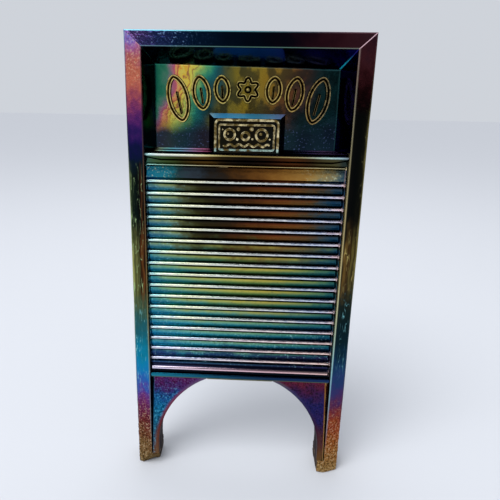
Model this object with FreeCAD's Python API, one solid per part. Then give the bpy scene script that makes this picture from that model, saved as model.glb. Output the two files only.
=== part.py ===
import FreeCAD, Part
import os
import math

from FreeCAD import Placement, Rotation, Vector

# A small washboard that stands on its own two legs. Millimetres, +Z up, front facing -Y.
# The origin is on the ground, midway between the legs and midway through the thickness.

# ---- driving dimensions ----
HEIGHT = 105.0
WIDTH = 51.5
THICKNESS = 8.5

STILE_WIDTH = 3.65           # outer edge to the sharp inner ridge, seen from the front
RAIL_WIDTH = 3.2             # the same across the top rail, so the mitres are not quite 45 degrees
FACE_BEVEL = 1.5             # the frame's front face falls back this far from ridge to outer edge
RIDGE_LIP = 0.2              # the ridge's small inner chamfer
BACK_CHAMFER = 0.6

GROOVE_DEPTH = 1.0           # groove in the frame that holds the infill pieces' tongues
GROOVE_WIDTH = 1.8
GROOVE_INSET = 4.25          # the groove's near side, behind the ridge
PANEL_BACK_INSET = 1.5       # the infill pieces' backs lie this far inside the frame's back

TOE_HEIGHT = 3.6             # below this the leg is one plain block
ARCH_RADIUS = 20.3           # also the legs' inner faces, straight below the arch's centre
ARCH_CENTRE_Z = 6.3

CREST_INSET = 5.0            # crest floor behind the ridge
CREST_FLOOR_LEFT = -19.95
CREST_FLOOR_RIGHT = 19.3
CREST_FLOOR_TOP = 98.25
CREST_WALL_START = 0.4       # the drafted walls start this far behind the ridge

LEDGE_TOP = 81.15
LEDGE_BOTTOM = 78.1
NOSE_Z = 79.8
NOSE_RADIUS = 0.6
NOSE_INSET = 0.9             # the nose's widest height is at its centre, this far behind the ridge
HOLLOW_INSET = 1.5           # the hollows under the nose and above the bottom rail's band

RIB_COUNT = 17
RIB_PITCH = 2.711
FIRST_RIB_Z = 74.18
RIB_INSET = 1.0              # rib crest behind the ridge
RIB_DEPTH = 0.75             # crest to the bottom of the trough
RIB_HALF = 0.45              # half the height of one crest
LAST_RIB_Z = 28.2
LAST_RIB_HALF = 0.6
LAST_RIB_EXTRA = 0.25        # it stands out further than the others
BEAD_Z = 77.8
BEAD_HALF = 0.22
BAND_SAG = 0.1               # the smooth band's middle is a little behind the crests

BOTTOM_RAIL_TOP = 27.5
BOTTOM_RAIL_BOTTOM = 25.7
KEY_HALF = 8.0               # flat strip between the spandrels at the top of the arch
KEY_DROP = 0.7
RAIL_BAND_INSET = 0.85
RAIL_BAND_SWELL = 0.1
RAIL_BAND_HEIGHT = 1.0
SPANDREL_INSET_TOP = 1.7
SPANDREL_INSET_TOE = 0.3
ARCH_CHAMFER = 0.8

BADGE_BASE_HALF = 8.3
BADGE_FACE_HALF = 7.1
BADGE_BASE_TOP = 88.75
BADGE_FACE_TOP = 87.9
BADGE_FACE_INSET = 1.3
BORDER_PROUD = 0.35
# each border on the badge: half width, lowest z, highest z, stroke, outer corner radius
OPEN_BORDER = (6.9, 80.0, 87.75, 0.5, 1.0)
CLOSED_BORDER = (6.05, 81.05, 86.7, 0.42, 0.6)
BUBBLE_PROUD = 0.55
BUBBLE_STROKE = 0.45
# bubbles on the badge: x, z, radius
BUBBLE_RINGS = ((-3.6, 84.5, 1.35), (-0.25, 84.2, 1.05), (3.2, 84.45, 1.45))
BUBBLE_DOMES = ((-1.75, 85.6, 0.45), (1.05, 85.6, 0.5), (-1.95, 83.5, 0.35),
                (1.25, 83.6, 0.3), (4.95, 83.6, 0.3))
WATER_Z = 82.25
WATER_HALF_SPAN = 5.0
WATER_SWELL = 0.3
WATER_THICK = 0.42
WATER_HALF_WAVES = 5
WATER_PROUD = 0.5

LEAF_PROUD = 0.9
LEAF_STROKE = 0.75
LEAF_TOP = 96.7
# each leaf on the right: middle x, width, lowest z, outward tilt in degrees
LEAVES = ((5.5, 3.95, 90.6, 5.0), (10.0, 4.35, 89.1, 9.0), (15.0, 5.05, 86.5, 13.0))
LEAF_VEIN = 0.5
BLOSSOM_DROP = 3.0           # its centre below the leaves' tops
PETAL_COUNT = 6
PETAL_REACH = 1.75
PETAL_RADIUS = 1.05
EYE_RADIUS = 0.85

# the worn plane across the left foot's inner front corner goes through these three points
WORN_OUTSIDE = (-24.95, -3.1, 0.0)
WORN_FRONT = (-21.9, -4.05, 4.4)
WORN_INSIDE = (-20.3, -0.85, 0.0)

# ---- planes worked out from them ----
FRONT = -THICKNESS / 2
BACK = THICKNESS / 2
HALF = WIDTH / 2
RIDGE_X = HALF - STILE_WIDTH
RIDGE_Z = HEIGHT - RAIL_WIDTH
MITRE = RAIL_WIDTH / STILE_WIDTH
INNER_X = RIDGE_X - RIDGE_LIP
INNER_Z = RIDGE_Z - RIDGE_LIP * MITRE
TONGUE_X = INNER_X + GROOVE_DEPTH
TONGUE_Z = INNER_Z + GROOVE_DEPTH * MITRE
PANEL_BACK = BACK - PANEL_BACK_INSET
GROOVE_NEAR = FRONT + GROOVE_INSET
GROOVE_FAR = GROOVE_NEAR + GROOVE_WIDTH
CREST_Y = FRONT + CREST_INSET
BADGE_Y = FRONT + BADGE_FACE_INSET
SILL_FRONT_Y = FRONT + NOSE_INSET
SILL_FRONT_Z = NOSE_Z + NOSE_RADIUS
SILL_SLOPE = (LEDGE_TOP - SILL_FRONT_Z) / (CREST_Y - SILL_FRONT_Y)
BADGE_FACE_BOTTOM = SILL_FRONT_Z + SILL_SLOPE * (BADGE_Y - SILL_FRONT_Y)
HOLLOW_Y = FRONT + HOLLOW_INSET
BIG = 200.0


# ---- helpers ----
def face_of(points):
    """A flat face inside a closed row of points."""
    return Part.Face(Part.makePolygon(points + [points[0]]))


def along_x(outline_yz, x_from, x_to):
    points = [Vector(x_from, y, z) for y, z in outline_yz]
    return face_of(points).extrude(Vector(x_to - x_from, 0, 0))


def along_z(outline_xy, z_from, z_to):
    points = [Vector(x, y, z_from) for x, y in outline_xy]
    return face_of(points).extrude(Vector(0, 0, z_to - z_from))


def box(x_from, x_to, y_from, y_to, z_from, z_to):
    corner = Vector(x_from, y_from, z_from)
    return Part.makeBox(x_to - x_from, y_to - y_from, z_to - z_from, corner)


def beyond(point, normal):
    """A block that fills the side of a plane that its normal points to."""
    block = Part.makeBox(BIG, BIG, BIG, Vector(-BIG / 2, -BIG / 2, 0))
    block.Placement = Placement(point, Rotation(Vector(0, 0, 1), normal))
    return block


def mirrored(shape):
    return shape.mirror(Vector(0, 0, 0), Vector(1, 0, 0))


def taper(near, far):
    """A solid between two rectangles at different y, each (y, low x, high x, low z, high z)."""
    wires = []
    for y, left, right, low, high in (near, far):
        corners = [(left, low), (right, low), (right, high), (left, high)]
        points = [Vector(x, y, z) for x, z in corners]
        wires.append(Part.makePolygon(points + [points[0]]))
    return Part.makeLoft(wires, True, True)


def save(name, shape):
    shape = shape.removeSplitter()
    assert shape.isValid(), name
    shape.exportStep("parts/%s.step" % name)
    print("%-16s %d solid(s) %8.1f mm3" % (name, len(shape.Solids), shape.Volume))


# ---- frame ----
def mitre_block():
    """Everything above the right-hand mitre plane."""
    normal = Vector(-RAIL_WIDTH, 0, STILE_WIDTH)
    return beyond(Vector(HALF, 0, HEIGHT), normal)


def make_stile():
    """Right-hand stile: a bevelled upright with a plain toe and a groove for the infill."""
    outline = [
        (INNER_X, BACK),
        (INNER_X, FRONT + RIDGE_LIP),
        (RIDGE_X, FRONT),
        (HALF, FRONT + FACE_BEVEL),
        (HALF, BACK - BACK_CHAMFER),
        (HALF - BACK_CHAMFER, BACK),
    ]
    stile = along_z(outline, 0, HEIGHT)
    toe = box(ARCH_RADIUS, INNER_X, FRONT + RIDGE_LIP, BACK, 0, TOE_HEIGHT)
    groove = box(INNER_X, TONGUE_X, GROOVE_NEAR, GROOVE_FAR, TOE_HEIGHT, HEIGHT)
    return stile.fuse(toe).cut(groove).cut(mitre_block())


def make_worn_stile():
    """Left-hand stile, with the inner front corner of its foot worn off at a slant."""
    outside, front, inside = Vector(*WORN_OUTSIDE), Vector(*WORN_FRONT), Vector(*WORN_INSIDE)
    normal = (front - outside).cross(inside - outside)
    if normal.y > 0:
        normal = normal * -1
    return mirrored(make_stile()).cut(beyond(front, normal))


def make_top_rail():
    outline = [
        (BACK, INNER_Z),
        (FRONT + RIDGE_LIP, INNER_Z),
        (FRONT, RIDGE_Z),
        (FRONT + FACE_BEVEL, HEIGHT),
        (BACK - BACK_CHAMFER, HEIGHT),
        (BACK, HEIGHT - BACK_CHAMFER * MITRE),
    ]
    rail = along_x(outline, -HALF, HALF)
    rail = rail.cut(box(-HALF, HALF, GROOVE_NEAR, GROOVE_FAR, INNER_Z, TONGUE_Z))
    return rail.common(mitre_block()).common(mirrored(mitre_block()))


def tongues(z_from, z_to):
    """The two side tongues of an infill piece between these heights."""
    right = box(INNER_X, TONGUE_X, GROOVE_NEAR, GROOVE_FAR, z_from, z_to)
    return right, mirrored(right)


# ---- crest ----
def make_crest_panel():
    """The recessed panel: a flat floor with drafted walls at its sides and top."""
    wall_y = FRONT + CREST_WALL_START
    block = box(-INNER_X, INNER_X, wall_y, PANEL_BACK, LEDGE_TOP, INNER_Z)
    below = LEDGE_BOTTOM
    recess = taper((wall_y, -INNER_X, INNER_X, below, INNER_Z),
                   (CREST_Y, CREST_FLOOR_LEFT, CREST_FLOOR_RIGHT, below, CREST_FLOOR_TOP))
    tongue = box(-TONGUE_X, TONGUE_X, GROOVE_NEAR, GROOVE_FAR, LEDGE_TOP, TONGUE_Z)
    return block.fuse(tongue).cut(recess)


def lens(centre_x, centre_z, half_width, half_height, tilt):
    """The face of a pointed leaf, from two arcs, on the crest floor."""
    top = Vector(0, 0, half_height)
    bottom = Vector(0, 0, -half_height)
    right = Part.Arc(top, Vector(half_width, 0, 0), bottom).toShape()
    left = Part.Arc(bottom, Vector(-half_width, 0, 0), top).toShape()
    face = Part.Face(Part.Wire([right, left]))
    face.rotate(Vector(0, 0, 0), Vector(0, 1, 0), tilt)
    face.translate(Vector(centre_x, CREST_Y, centre_z))
    return face


def make_leaf(centre_x, width, bottom_z, tilt):
    """An outlined leaf with a vein down its middle."""
    rise = Vector(0, -LEAF_PROUD, 0)
    half_height = (LEAF_TOP - bottom_z) / 2
    centre_z = LEAF_TOP - half_height
    inner_height = half_height * (1 - 2 * LEAF_STROKE / width)
    outer = lens(centre_x, centre_z, width / 2, half_height, tilt).extrude(rise)
    inner = lens(centre_x, centre_z, width / 2 - LEAF_STROKE, inner_height, tilt).extrude(rise)
    vein = box(-LEAF_VEIN / 2, LEAF_VEIN / 2, -LEAF_PROUD, 0, -inner_height, inner_height * 0.5)
    vein.rotate(Vector(0, 0, 0), Vector(0, 1, 0), tilt)
    vein.translate(Vector(centre_x, CREST_Y, centre_z))
    return outer.cut(inner).fuse(vein.common(outer))


def make_crest_leaves():
    right = [make_leaf(*leaf) for leaf in LEAVES]
    return Part.makeCompound([mirrored(leaf) for leaf in right] + right)


def make_crest_blossom():
    """A round flower: petals around a raised eye."""
    centre = Vector(0, CREST_Y, LEAF_TOP - BLOSSOM_DROP)
    rise = Vector(0, -1, 0)
    flower = Part.makeCylinder(PETAL_REACH, LEAF_PROUD * 0.6, centre, rise)
    for index in range(PETAL_COUNT):
        angle = 2 * math.pi * index / PETAL_COUNT
        offset = Vector(math.sin(angle), 0, math.cos(angle)) * PETAL_REACH
        flower = flower.fuse(Part.makeCylinder(PETAL_RADIUS, LEAF_PROUD * 0.8, centre + offset, rise))
    return flower.fuse(Part.makeCylinder(EYE_RADIUS, LEAF_PROUD, centre, rise))


# ---- badge ----
def make_badge_block():
    """The raised block, drafted at its sides and top, standing on the ledge's sill."""
    return taper((CREST_Y, -BADGE_BASE_HALF, BADGE_BASE_HALF, LEDGE_TOP, BADGE_BASE_TOP),
                 (BADGE_Y, -BADGE_FACE_HALF, BADGE_FACE_HALF, BADGE_FACE_BOTTOM, BADGE_FACE_TOP))


def rounded_plate(half, low, high, radius):
    """A low plate on the badge's face with rounded corners."""
    plate = box(-half, half, BADGE_Y - BORDER_PROUD, BADGE_Y, low, high)
    corners = [edge for edge in plate.Edges if abs(edge.tangentAt(edge.FirstParameter).y) > 0.9]
    return plate.makeFillet(radius, corners)


def make_border(half, low, high, stroke, radius):
    inner = rounded_plate(half - stroke, low + stroke, high - stroke, radius - stroke / 2)
    return rounded_plate(half, low, high, radius).cut(inner)


def make_badge_border():
    """Two narrow raised borders; the outer one is open where it meets the ledge."""
    above_ledge = box(-BADGE_FACE_HALF, BADGE_FACE_HALF, BADGE_Y - BORDER_PROUD, BADGE_Y,
                      BADGE_FACE_BOTTOM + OPEN_BORDER[3], BADGE_FACE_TOP)
    return Part.makeCompound([make_border(*OPEN_BORDER).common(above_ledge), make_border(*CLOSED_BORDER)])


def make_water():
    """A wavy band, from arcs that swell up and down in turn."""
    step = 2 * WATER_HALF_SPAN / WATER_HALF_WAVES
    upper, lower = [], []
    for index in range(WATER_HALF_WAVES):
        start = -WATER_HALF_SPAN + step * index
        swell = WATER_SWELL if index % 2 == 0 else -WATER_SWELL
        for edges, z in ((upper, WATER_Z + WATER_THICK / 2), (lower, WATER_Z - WATER_THICK / 2)):
            from_here = Vector(start, BADGE_Y, z)
            middle = Vector(start + step / 2, BADGE_Y, z + swell)
            edges.append(Part.Arc(from_here, middle, Vector(start + step, BADGE_Y, z)).toShape())
    ends = []
    for x in (-WATER_HALF_SPAN, WATER_HALF_SPAN):
        ends.append(Part.makeLine(Vector(x, BADGE_Y, WATER_Z + WATER_THICK / 2),
                                  Vector(x, BADGE_Y, WATER_Z - WATER_THICK / 2)))
    outline = Part.Wire(Part.sortEdges(upper + lower + ends)[0])
    return Part.Face(outline).extrude(Vector(0, -WATER_PROUD, 0))


def make_badge_bubbles():
    """Soap bubbles: rings and small domes above a wavy line of water."""
    pieces = []
    rise = Vector(0, -1, 0)
    for x, z, radius in BUBBLE_RINGS:
        centre = Vector(x, BADGE_Y, z)
        ring = Part.makeCylinder(radius, BUBBLE_PROUD, centre, rise)
        pieces.append(ring.cut(Part.makeCylinder(radius - BUBBLE_STROKE, BUBBLE_PROUD, centre, rise)))
    in_front = box(-BADGE_FACE_HALF, BADGE_FACE_HALF, FRONT, BADGE_Y, LEDGE_BOTTOM, HEIGHT)
    for x, z, radius in BUBBLE_DOMES:
        pieces.append(Part.makeSphere(radius, Vector(x, BADGE_Y, z)).common(in_front))
    return Part.makeCompound(pieces + [make_water()])


# ---- ledge, rubbing plate and bottom rail ----
def section_along_x(edges):
    """A solid as wide as the opening, from the closed outline of its cross-section."""
    face = Part.Face(Part.Wire(edges))
    face.translate(Vector(-INNER_X, 0, 0))
    return face.extrude(Vector(2 * INNER_X, 0, 0))


def line(from_yz, to_yz):
    return Part.makeLine(Vector(0, *from_yz), Vector(0, *to_yz))


def arc(from_yz, through_yz, to_yz):
    return Part.Arc(Vector(0, *from_yz), Vector(0, *through_yz), Vector(0, *to_yz)).toShape()


def make_soap_ledge():
    """A sloping sill that ends in a rounded nose, with a hollow under the nose."""
    nose_bottom = (SILL_FRONT_Y, NOSE_Z - NOSE_RADIUS)
    cove_middle = (HOLLOW_Y - 0.1, (nose_bottom[1] + LEDGE_BOTTOM) / 2)
    edges = [
        line((PANEL_BACK, LEDGE_TOP), (CREST_Y, LEDGE_TOP)),
        line((CREST_Y, LEDGE_TOP), (SILL_FRONT_Y, SILL_FRONT_Z)),
        arc((SILL_FRONT_Y, SILL_FRONT_Z), (SILL_FRONT_Y - NOSE_RADIUS, NOSE_Z), nose_bottom),
        arc(nose_bottom, cove_middle, (HOLLOW_Y, LEDGE_BOTTOM)),
        line((HOLLOW_Y, LEDGE_BOTTOM), (PANEL_BACK, LEDGE_BOTTOM)),
        line((PANEL_BACK, LEDGE_BOTTOM), (PANEL_BACK, LEDGE_TOP)),
    ]
    return section_along_x(edges).fuse(tongues(LEDGE_BOTTOM, LEDGE_TOP))


def make_rubbing_plate():
    """A bead, a broad smooth band, then the ribs, the lowest of them stouter."""
    crest_y = FRONT + RIB_INSET
    flank_y = crest_y + RIB_DEPTH / 2
    trough_y = crest_y + RIB_DEPTH
    crests = [(BEAD_Z, BEAD_HALF, crest_y)]
    crests += [(FIRST_RIB_Z - RIB_PITCH * index, RIB_HALF, crest_y) for index in range(RIB_COUNT)]
    crests += [(LAST_RIB_Z, LAST_RIB_HALF, crest_y - LAST_RIB_EXTRA)]

    edges = [line((PANEL_BACK, LEDGE_BOTTOM), (flank_y, LEDGE_BOTTOM))]
    here = (flank_y, LEDGE_BOTTOM)
    for index, (crest_z, half, top_y) in enumerate(crests):
        upper = (flank_y, crest_z + half)
        lower = (flank_y, crest_z - half)
        middle_z = (here[1] + upper[1]) / 2
        if index == 0:
            edges.append(line(here, upper))
        elif index == 1:
            edges.append(arc(here, (crest_y + BAND_SAG, middle_z), upper))
        else:
            edges.append(arc(here, (trough_y, middle_z), upper))
        edges.append(arc(upper, (top_y, crest_z), lower))
        here = lower
    edges.append(line(here, (flank_y, BOTTOM_RAIL_TOP)))
    edges.append(line((flank_y, BOTTOM_RAIL_TOP), (PANEL_BACK, BOTTOM_RAIL_TOP)))
    edges.append(line((PANEL_BACK, BOTTOM_RAIL_TOP), (PANEL_BACK, LEDGE_BOTTOM)))
    return section_along_x(edges).fuse(tongues(BOTTOM_RAIL_TOP, LEDGE_BOTTOM))


def make_bottom_rail():
    """A low moulded rail with a flat strip below it, between the spandrels' tips."""
    band_y = FRONT + RAIL_BAND_INSET
    band_top = BOTTOM_RAIL_BOTTOM + RAIL_BAND_HEIGHT
    outline = [
        (BACK, BOTTOM_RAIL_BOTTOM),
        (band_y, BOTTOM_RAIL_BOTTOM),
        (band_y - RAIL_BAND_SWELL, (BOTTOM_RAIL_BOTTOM + band_top) / 2),
        (band_y, band_top),
        (HOLLOW_Y, band_top + (HOLLOW_Y - band_y) / 2),
        (HOLLOW_Y, BOTTOM_RAIL_TOP),
        (BACK, BOTTOM_RAIL_TOP),
    ]
    rail = along_x(outline, -INNER_X, INNER_X)
    key = box(-KEY_HALF, KEY_HALF, FRONT + SPANDREL_INSET_TOP, PANEL_BACK,
              BOTTOM_RAIL_BOTTOM - KEY_DROP, BOTTOM_RAIL_BOTTOM)
    return rail.fuse(key).fuse(tongues(BOTTOM_RAIL_BOTTOM, BOTTOM_RAIL_TOP))


def make_spandrel():
    """Right-hand corner piece under the rail: a hollow face that runs out at the toe."""
    def on_arch(x):
        return Vector(x, 0, ARCH_CENTRE_Z + math.sqrt(ARCH_RADIUS ** 2 - x ** 2))

    corners = [
        Vector(ARCH_RADIUS, 0, ARCH_CENTRE_Z),
        Vector(ARCH_RADIUS, 0, TOE_HEIGHT),
        Vector(INNER_X, 0, TOE_HEIGHT),
        Vector(INNER_X, 0, BOTTOM_RAIL_BOTTOM),
        Vector(KEY_HALF, 0, BOTTOM_RAIL_BOTTOM),
        on_arch(KEY_HALF),
    ]
    edges = Part.makePolygon(corners).Edges
    edges.append(Part.Arc(corners[-1], on_arch(ARCH_RADIUS * 0.8), corners[0]).toShape())
    blank = Part.Face(Part.Wire(edges))
    blank.translate(Vector(0, FRONT + RIDGE_LIP, 0))
    blank = blank.extrude(Vector(0, PANEL_BACK - FRONT - RIDGE_LIP, 0))

    toe_point = Vector(0, FRONT + SPANDREL_INSET_TOE, TOE_HEIGHT)
    top_point = Vector(0, FRONT + SPANDREL_INSET_TOP, BOTTOM_RAIL_BOTTOM)
    up = top_point - toe_point
    hollow = beyond(toe_point, Vector(0, -up.z, up.y))
    flank = beyond(Vector(INNER_X, FRONT + RIDGE_LIP, 0), Vector(-1, -1, 0))
    blank = blank.cut(hollow.common(flank))

    into = Vector(0, up.z, -up.y).normalize()
    share = (ARCH_CENTRE_Z - TOE_HEIGHT) / up.z
    centre = toe_point + up * share
    flare = Part.makeCone(ARCH_RADIUS + 2 * ARCH_CHAMFER, ARCH_RADIUS - 2 * ARCH_CHAMFER, 4 * ARCH_CHAMFER,
                          centre - into * ARCH_CHAMFER, into)
    blank = blank.cut(flare)
    return blank.fuse(tongues(TOE_HEIGHT, BOTTOM_RAIL_BOTTOM)[0])


def main():
    os.makedirs("parts", exist_ok=True)
    spandrel = make_spandrel()
    save("left_stile", make_worn_stile())
    save("right_stile", make_stile())
    save("top_rail", make_top_rail())
    save("crest_panel", make_crest_panel())
    save("crest_leaves", make_crest_leaves())
    save("crest_blossom", make_crest_blossom())
    save("badge_block", make_badge_block())
    save("badge_border", make_badge_border())
    save("badge_bubbles", make_badge_bubbles())
    save("soap_ledge", make_soap_ledge())
    save("rubbing_plate", make_rubbing_plate())
    save("bottom_rail", make_bottom_rail())
    save("left_spandrel", mirrored(spandrel))
    save("right_spandrel", spandrel)


main()
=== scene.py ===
import math

import bmesh
import bpy
import numpy as np
from mathutils import Euler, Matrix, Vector


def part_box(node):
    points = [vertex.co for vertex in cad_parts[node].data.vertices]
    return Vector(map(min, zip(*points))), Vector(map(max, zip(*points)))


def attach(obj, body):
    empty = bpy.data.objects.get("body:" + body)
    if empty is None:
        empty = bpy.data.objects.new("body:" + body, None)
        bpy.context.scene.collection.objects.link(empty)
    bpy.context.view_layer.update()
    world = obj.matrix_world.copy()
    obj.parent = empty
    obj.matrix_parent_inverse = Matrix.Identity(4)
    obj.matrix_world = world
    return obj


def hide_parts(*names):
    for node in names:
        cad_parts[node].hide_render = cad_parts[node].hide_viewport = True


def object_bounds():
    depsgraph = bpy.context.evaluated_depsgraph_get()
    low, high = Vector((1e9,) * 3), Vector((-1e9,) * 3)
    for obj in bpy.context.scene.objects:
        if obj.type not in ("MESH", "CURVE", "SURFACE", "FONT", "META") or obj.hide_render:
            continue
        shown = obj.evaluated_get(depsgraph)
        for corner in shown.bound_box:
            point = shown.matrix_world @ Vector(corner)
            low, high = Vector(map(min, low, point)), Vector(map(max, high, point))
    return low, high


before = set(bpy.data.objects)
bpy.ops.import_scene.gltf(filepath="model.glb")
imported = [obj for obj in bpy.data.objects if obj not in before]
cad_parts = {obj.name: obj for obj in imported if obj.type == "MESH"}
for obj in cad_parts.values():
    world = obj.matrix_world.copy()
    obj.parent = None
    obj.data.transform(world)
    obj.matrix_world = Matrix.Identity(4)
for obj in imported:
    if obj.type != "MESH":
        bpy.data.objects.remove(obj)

# Shapes are worked out in millimetres in the CAD frame; add_piece turns them into metres.
MM = 0.001
cad_low, cad_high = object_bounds()


def node_box(name):
    low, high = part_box(name)
    return low / MM, high / MM


# ---- places read from the CAD frame ----
HALF = cad_high.x / MM
TOP = cad_high.z / MM
FRONT = cad_low.y / MM
BACK = cad_high.y / MM
plate_low, plate_high = node_box("rubbing_plate")
badge_low, badge_high = node_box("badge_block")
spandrel_low, spandrel_high = node_box("right_spandrel")
rail_low, rail_high = node_box("bottom_rail")
TONGUE = 1.0                              # hidden in the stiles' groove
INNER_X = plate_high.x - TONGUE
PANEL_BACK = plate_high.y
RAIL_TOP = plate_low.z
LEDGE_BOTTOM = plate_high.z
LEDGE_TOP = node_box("soap_ledge")[1].z
RAIL_BOTTOM = spandrel_high.z
TOE_TOP = spandrel_low.z
LEG_INNER = node_box("right_stile")[0].x
KEY_HALF = spandrel_low.x
FLOOR_Y = badge_high.y                    # the crest's flat floor
BADGE_Y = badge_low.y
BADGE_TOP = badge_high.z
BADGE_HALF = badge_high.x

# ---- shapes that the frame doesn't give ----
MEMBER = HALF - INNER_X                   # how wide a stile is, seen from the front
MITRE = 3.2 / 3.65                        # the top rail is this much narrower than a stile
INNER_Z = TOP - MEMBER * MITRE
FACE_BEVEL = 1.5
ARCH_CENTRE_Z = 6.3
CREST_FLOOR_LEFT = -19.95
CREST_FLOOR_RIGHT = 19.3
CREST_FLOOR_TOP = 98.25
CREST_TOP_LEAN = -0.018                   # the floor's top edge runs down a little to the right
RIB_PITCH = 2.711
FIRST_RIB = 74.18
RIB_COUNT = 17
LAST_RIB = 28.2
RIB_INSET = 1.0
RIB_DEPTH = 0.75


# ---- small numeric helpers ----
def smoothstep(low, high, value):
    t = np.clip((value - low) / (high - low), 0, 1)
    return t * t * (3 - 2 * t)


def soft_min(a, b, blend):
    """The lower of two heights, with the crease between them rounded."""
    h = np.clip(0.5 + 0.5 * (b - a) / blend, 0, 1)
    return b * (1 - h) + a * h - blend * h * (1 - h)


def lattice_noise(a, b, cell_a, cell_b, seed):
    """Smooth random values from -1 to 1 over two coordinates, one value to each cell corner."""
    size = 97
    table = np.random.RandomState(seed).uniform(-1, 1, (size, size))
    u, v = a / cell_a, b / cell_b
    i, j = np.floor(u).astype(int), np.floor(v).astype(int)
    fu, fv = u - i, v - j
    fu, fv = fu * fu * (3 - 2 * fu), fv * fv * (3 - 2 * fv)
    near = table[i % size, j % size] * (1 - fu) + table[(i + 1) % size, j % size] * fu
    far = table[i % size, (j + 1) % size] * (1 - fu) + table[(i + 1) % size, (j + 1) % size] * fu
    return near * (1 - fv) + far * fv


def spaced(*runs):
    """Grid lines from runs of (start, end, count), each run sharing its end with the next."""
    lines = [np.linspace(start, end, count, endpoint=False) for start, end, count in runs]
    return np.concatenate(lines + [[runs[-1][1]]])


# ---- mesh helpers ----
def grid_faces(rows, columns, wrap_rows=False, wrap_columns=False):
    i = np.arange(rows if wrap_rows else rows - 1)[:, None]
    j = np.arange(columns if wrap_columns else columns - 1)[None, :]
    i2, j2 = (i + 1) % rows, (j + 1) % columns
    quads = [i * columns + j, i * columns + j2, i2 * columns + j2, i2 * columns + j]
    return np.stack([np.broadcast_to(q, np.broadcast(i, j).shape) for q in quads], -1).reshape(-1, 4).tolist()


def tube(rings, closed=False):
    """A closed solid through rings of points; capped at its ends unless it closes on itself."""
    count, around = rings.shape[:2]
    faces = grid_faces(count, around, closed, True)
    if not closed:
        faces.append(list(range(around)))
        faces.append(list(range((count - 1) * around, count * around)))
    return rings.reshape(-1, 3), faces


def slab(front, back_y):
    """A closed solid from a grid of front points, straight sides and a flat back."""
    rows, columns = front.shape[:2]
    back = front.copy()
    back[..., 1] = back_y
    index = np.arange(rows * columns).reshape(rows, columns)
    border = np.concatenate([index[0, :], index[1:, -1], index[-1, -2::-1], index[-2:0:-1, 0]])
    half = rows * columns
    faces = grid_faces(rows, columns)
    faces += [[a + half for a in face] for face in faces]
    after = np.roll(border, -1)
    faces += np.stack([border, after, after + half, border + half], -1).tolist()
    return np.concatenate([front.reshape(-1, 3), back.reshape(-1, 3)]), faces


def joined(shapes):
    """Several closed shapes as one list of points and faces."""
    points, faces, start = [], [], 0
    for shape_points, shape_faces in shapes:
        points.append(shape_points)
        faces += [[a + start for a in face] for face in shape_faces]
        start += len(shape_points)
    return np.concatenate(points), faces


def mirrored(shape):
    points, faces = shape
    return points * np.array([-1, 1, 1]), faces


def add_piece(node, shape, material, sharp=38):
    name = node + "_glass"
    points, faces = shape
    mesh = bpy.data.meshes.new(name)
    mesh.from_pydata((points * MM).tolist(), [], faces)
    work = bmesh.new()
    work.from_mesh(mesh)
    bmesh.ops.recalc_face_normals(work, faces=work.faces)
    work.to_mesh(mesh)
    work.free()
    mesh.shade_smooth()
    mesh.set_sharp_from_angle(angle=math.radians(sharp))
    mesh.materials.append(material)
    piece = bpy.data.objects.new(name, mesh)
    bpy.context.scene.collection.objects.link(piece)
    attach(piece, "root")
    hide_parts(node)
    return piece


def rounded_outline(corners, runs, arc_steps=6):
    """A closed outline of (a, b, radius) corners; runs are the steps along each side that follows."""
    spots = [np.array(corner[:2], float) for corner in corners]
    arcs = []
    for i, (a, b, radius) in enumerate(corners):
        here = spots[i]
        to_before = spots[i - 1] - here
        to_after = spots[(i + 1) % len(spots)] - here
        to_before /= np.linalg.norm(to_before)
        to_after /= np.linalg.norm(to_after)
        half_angle = math.acos(np.clip(to_before @ to_after, -1, 1)) / 2
        reach = radius / math.tan(half_angle)
        t = np.linspace(0, 1, arc_steps + 1)[:, None]
        start, end = here + to_before * reach, here + to_after * reach
        arcs.append((1 - t) ** 2 * start + 2 * t * (1 - t) * here + t ** 2 * end)
    outline = []
    for i, arc in enumerate(arcs):
        start, end = arc[-1], arcs[(i + 1) % len(arcs)][0]
        t = np.linspace(0, 1, runs[i] + 1)[1:-1, None]
        outline += [arc, start + (end - start) * t]
    return np.concatenate(outline)


def outward(outline):
    """Unit normals of a closed outline, pointing away from its inside."""
    along = np.roll(outline, -1, 0) - np.roll(outline, 1, 0)
    normal = np.stack([along[:, 1], -along[:, 0]], -1)
    area = np.sum(outline[:, 0] * np.roll(outline[:, 1], -1) - np.roll(outline[:, 0], -1) * outline[:, 1])
    return normal / np.linalg.norm(normal, axis=1, keepdims=True) * (1 if area > 0 else -1)


# ---- frame members ----
MEMBER_RUNS = (8, 8, 30, 16, 2, 12)


def member_outline():
    """Cross-section of stile and top rail as (distance in from the outer edge, y)."""
    return rounded_outline([
        (MEMBER, BACK, 0.12),
        (MEMBER, FRONT + 1.2, 0.01),
        (MEMBER - 0.04, FRONT + 0.02, 0.2),
        (0, FRONT + FACE_BEVEL, 0.28),
        (0, BACK - 0.5, 0.25),
        (0.55, BACK, 0.25),
    ], MEMBER_RUNS)


def toe_outline():
    toe = HALF - LEG_INNER
    return rounded_outline([
        (toe, BACK, 0.25),
        (toe, FRONT + 0.5, 0.3),
        (MEMBER - 0.1, FRONT + 0.08, 0.7),
        (0, FRONT + FACE_BEVEL, 0.28),
        (0, BACK - 0.5, 0.25),
        (0.55, BACK, 0.25),
    ], MEMBER_RUNS)


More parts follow.
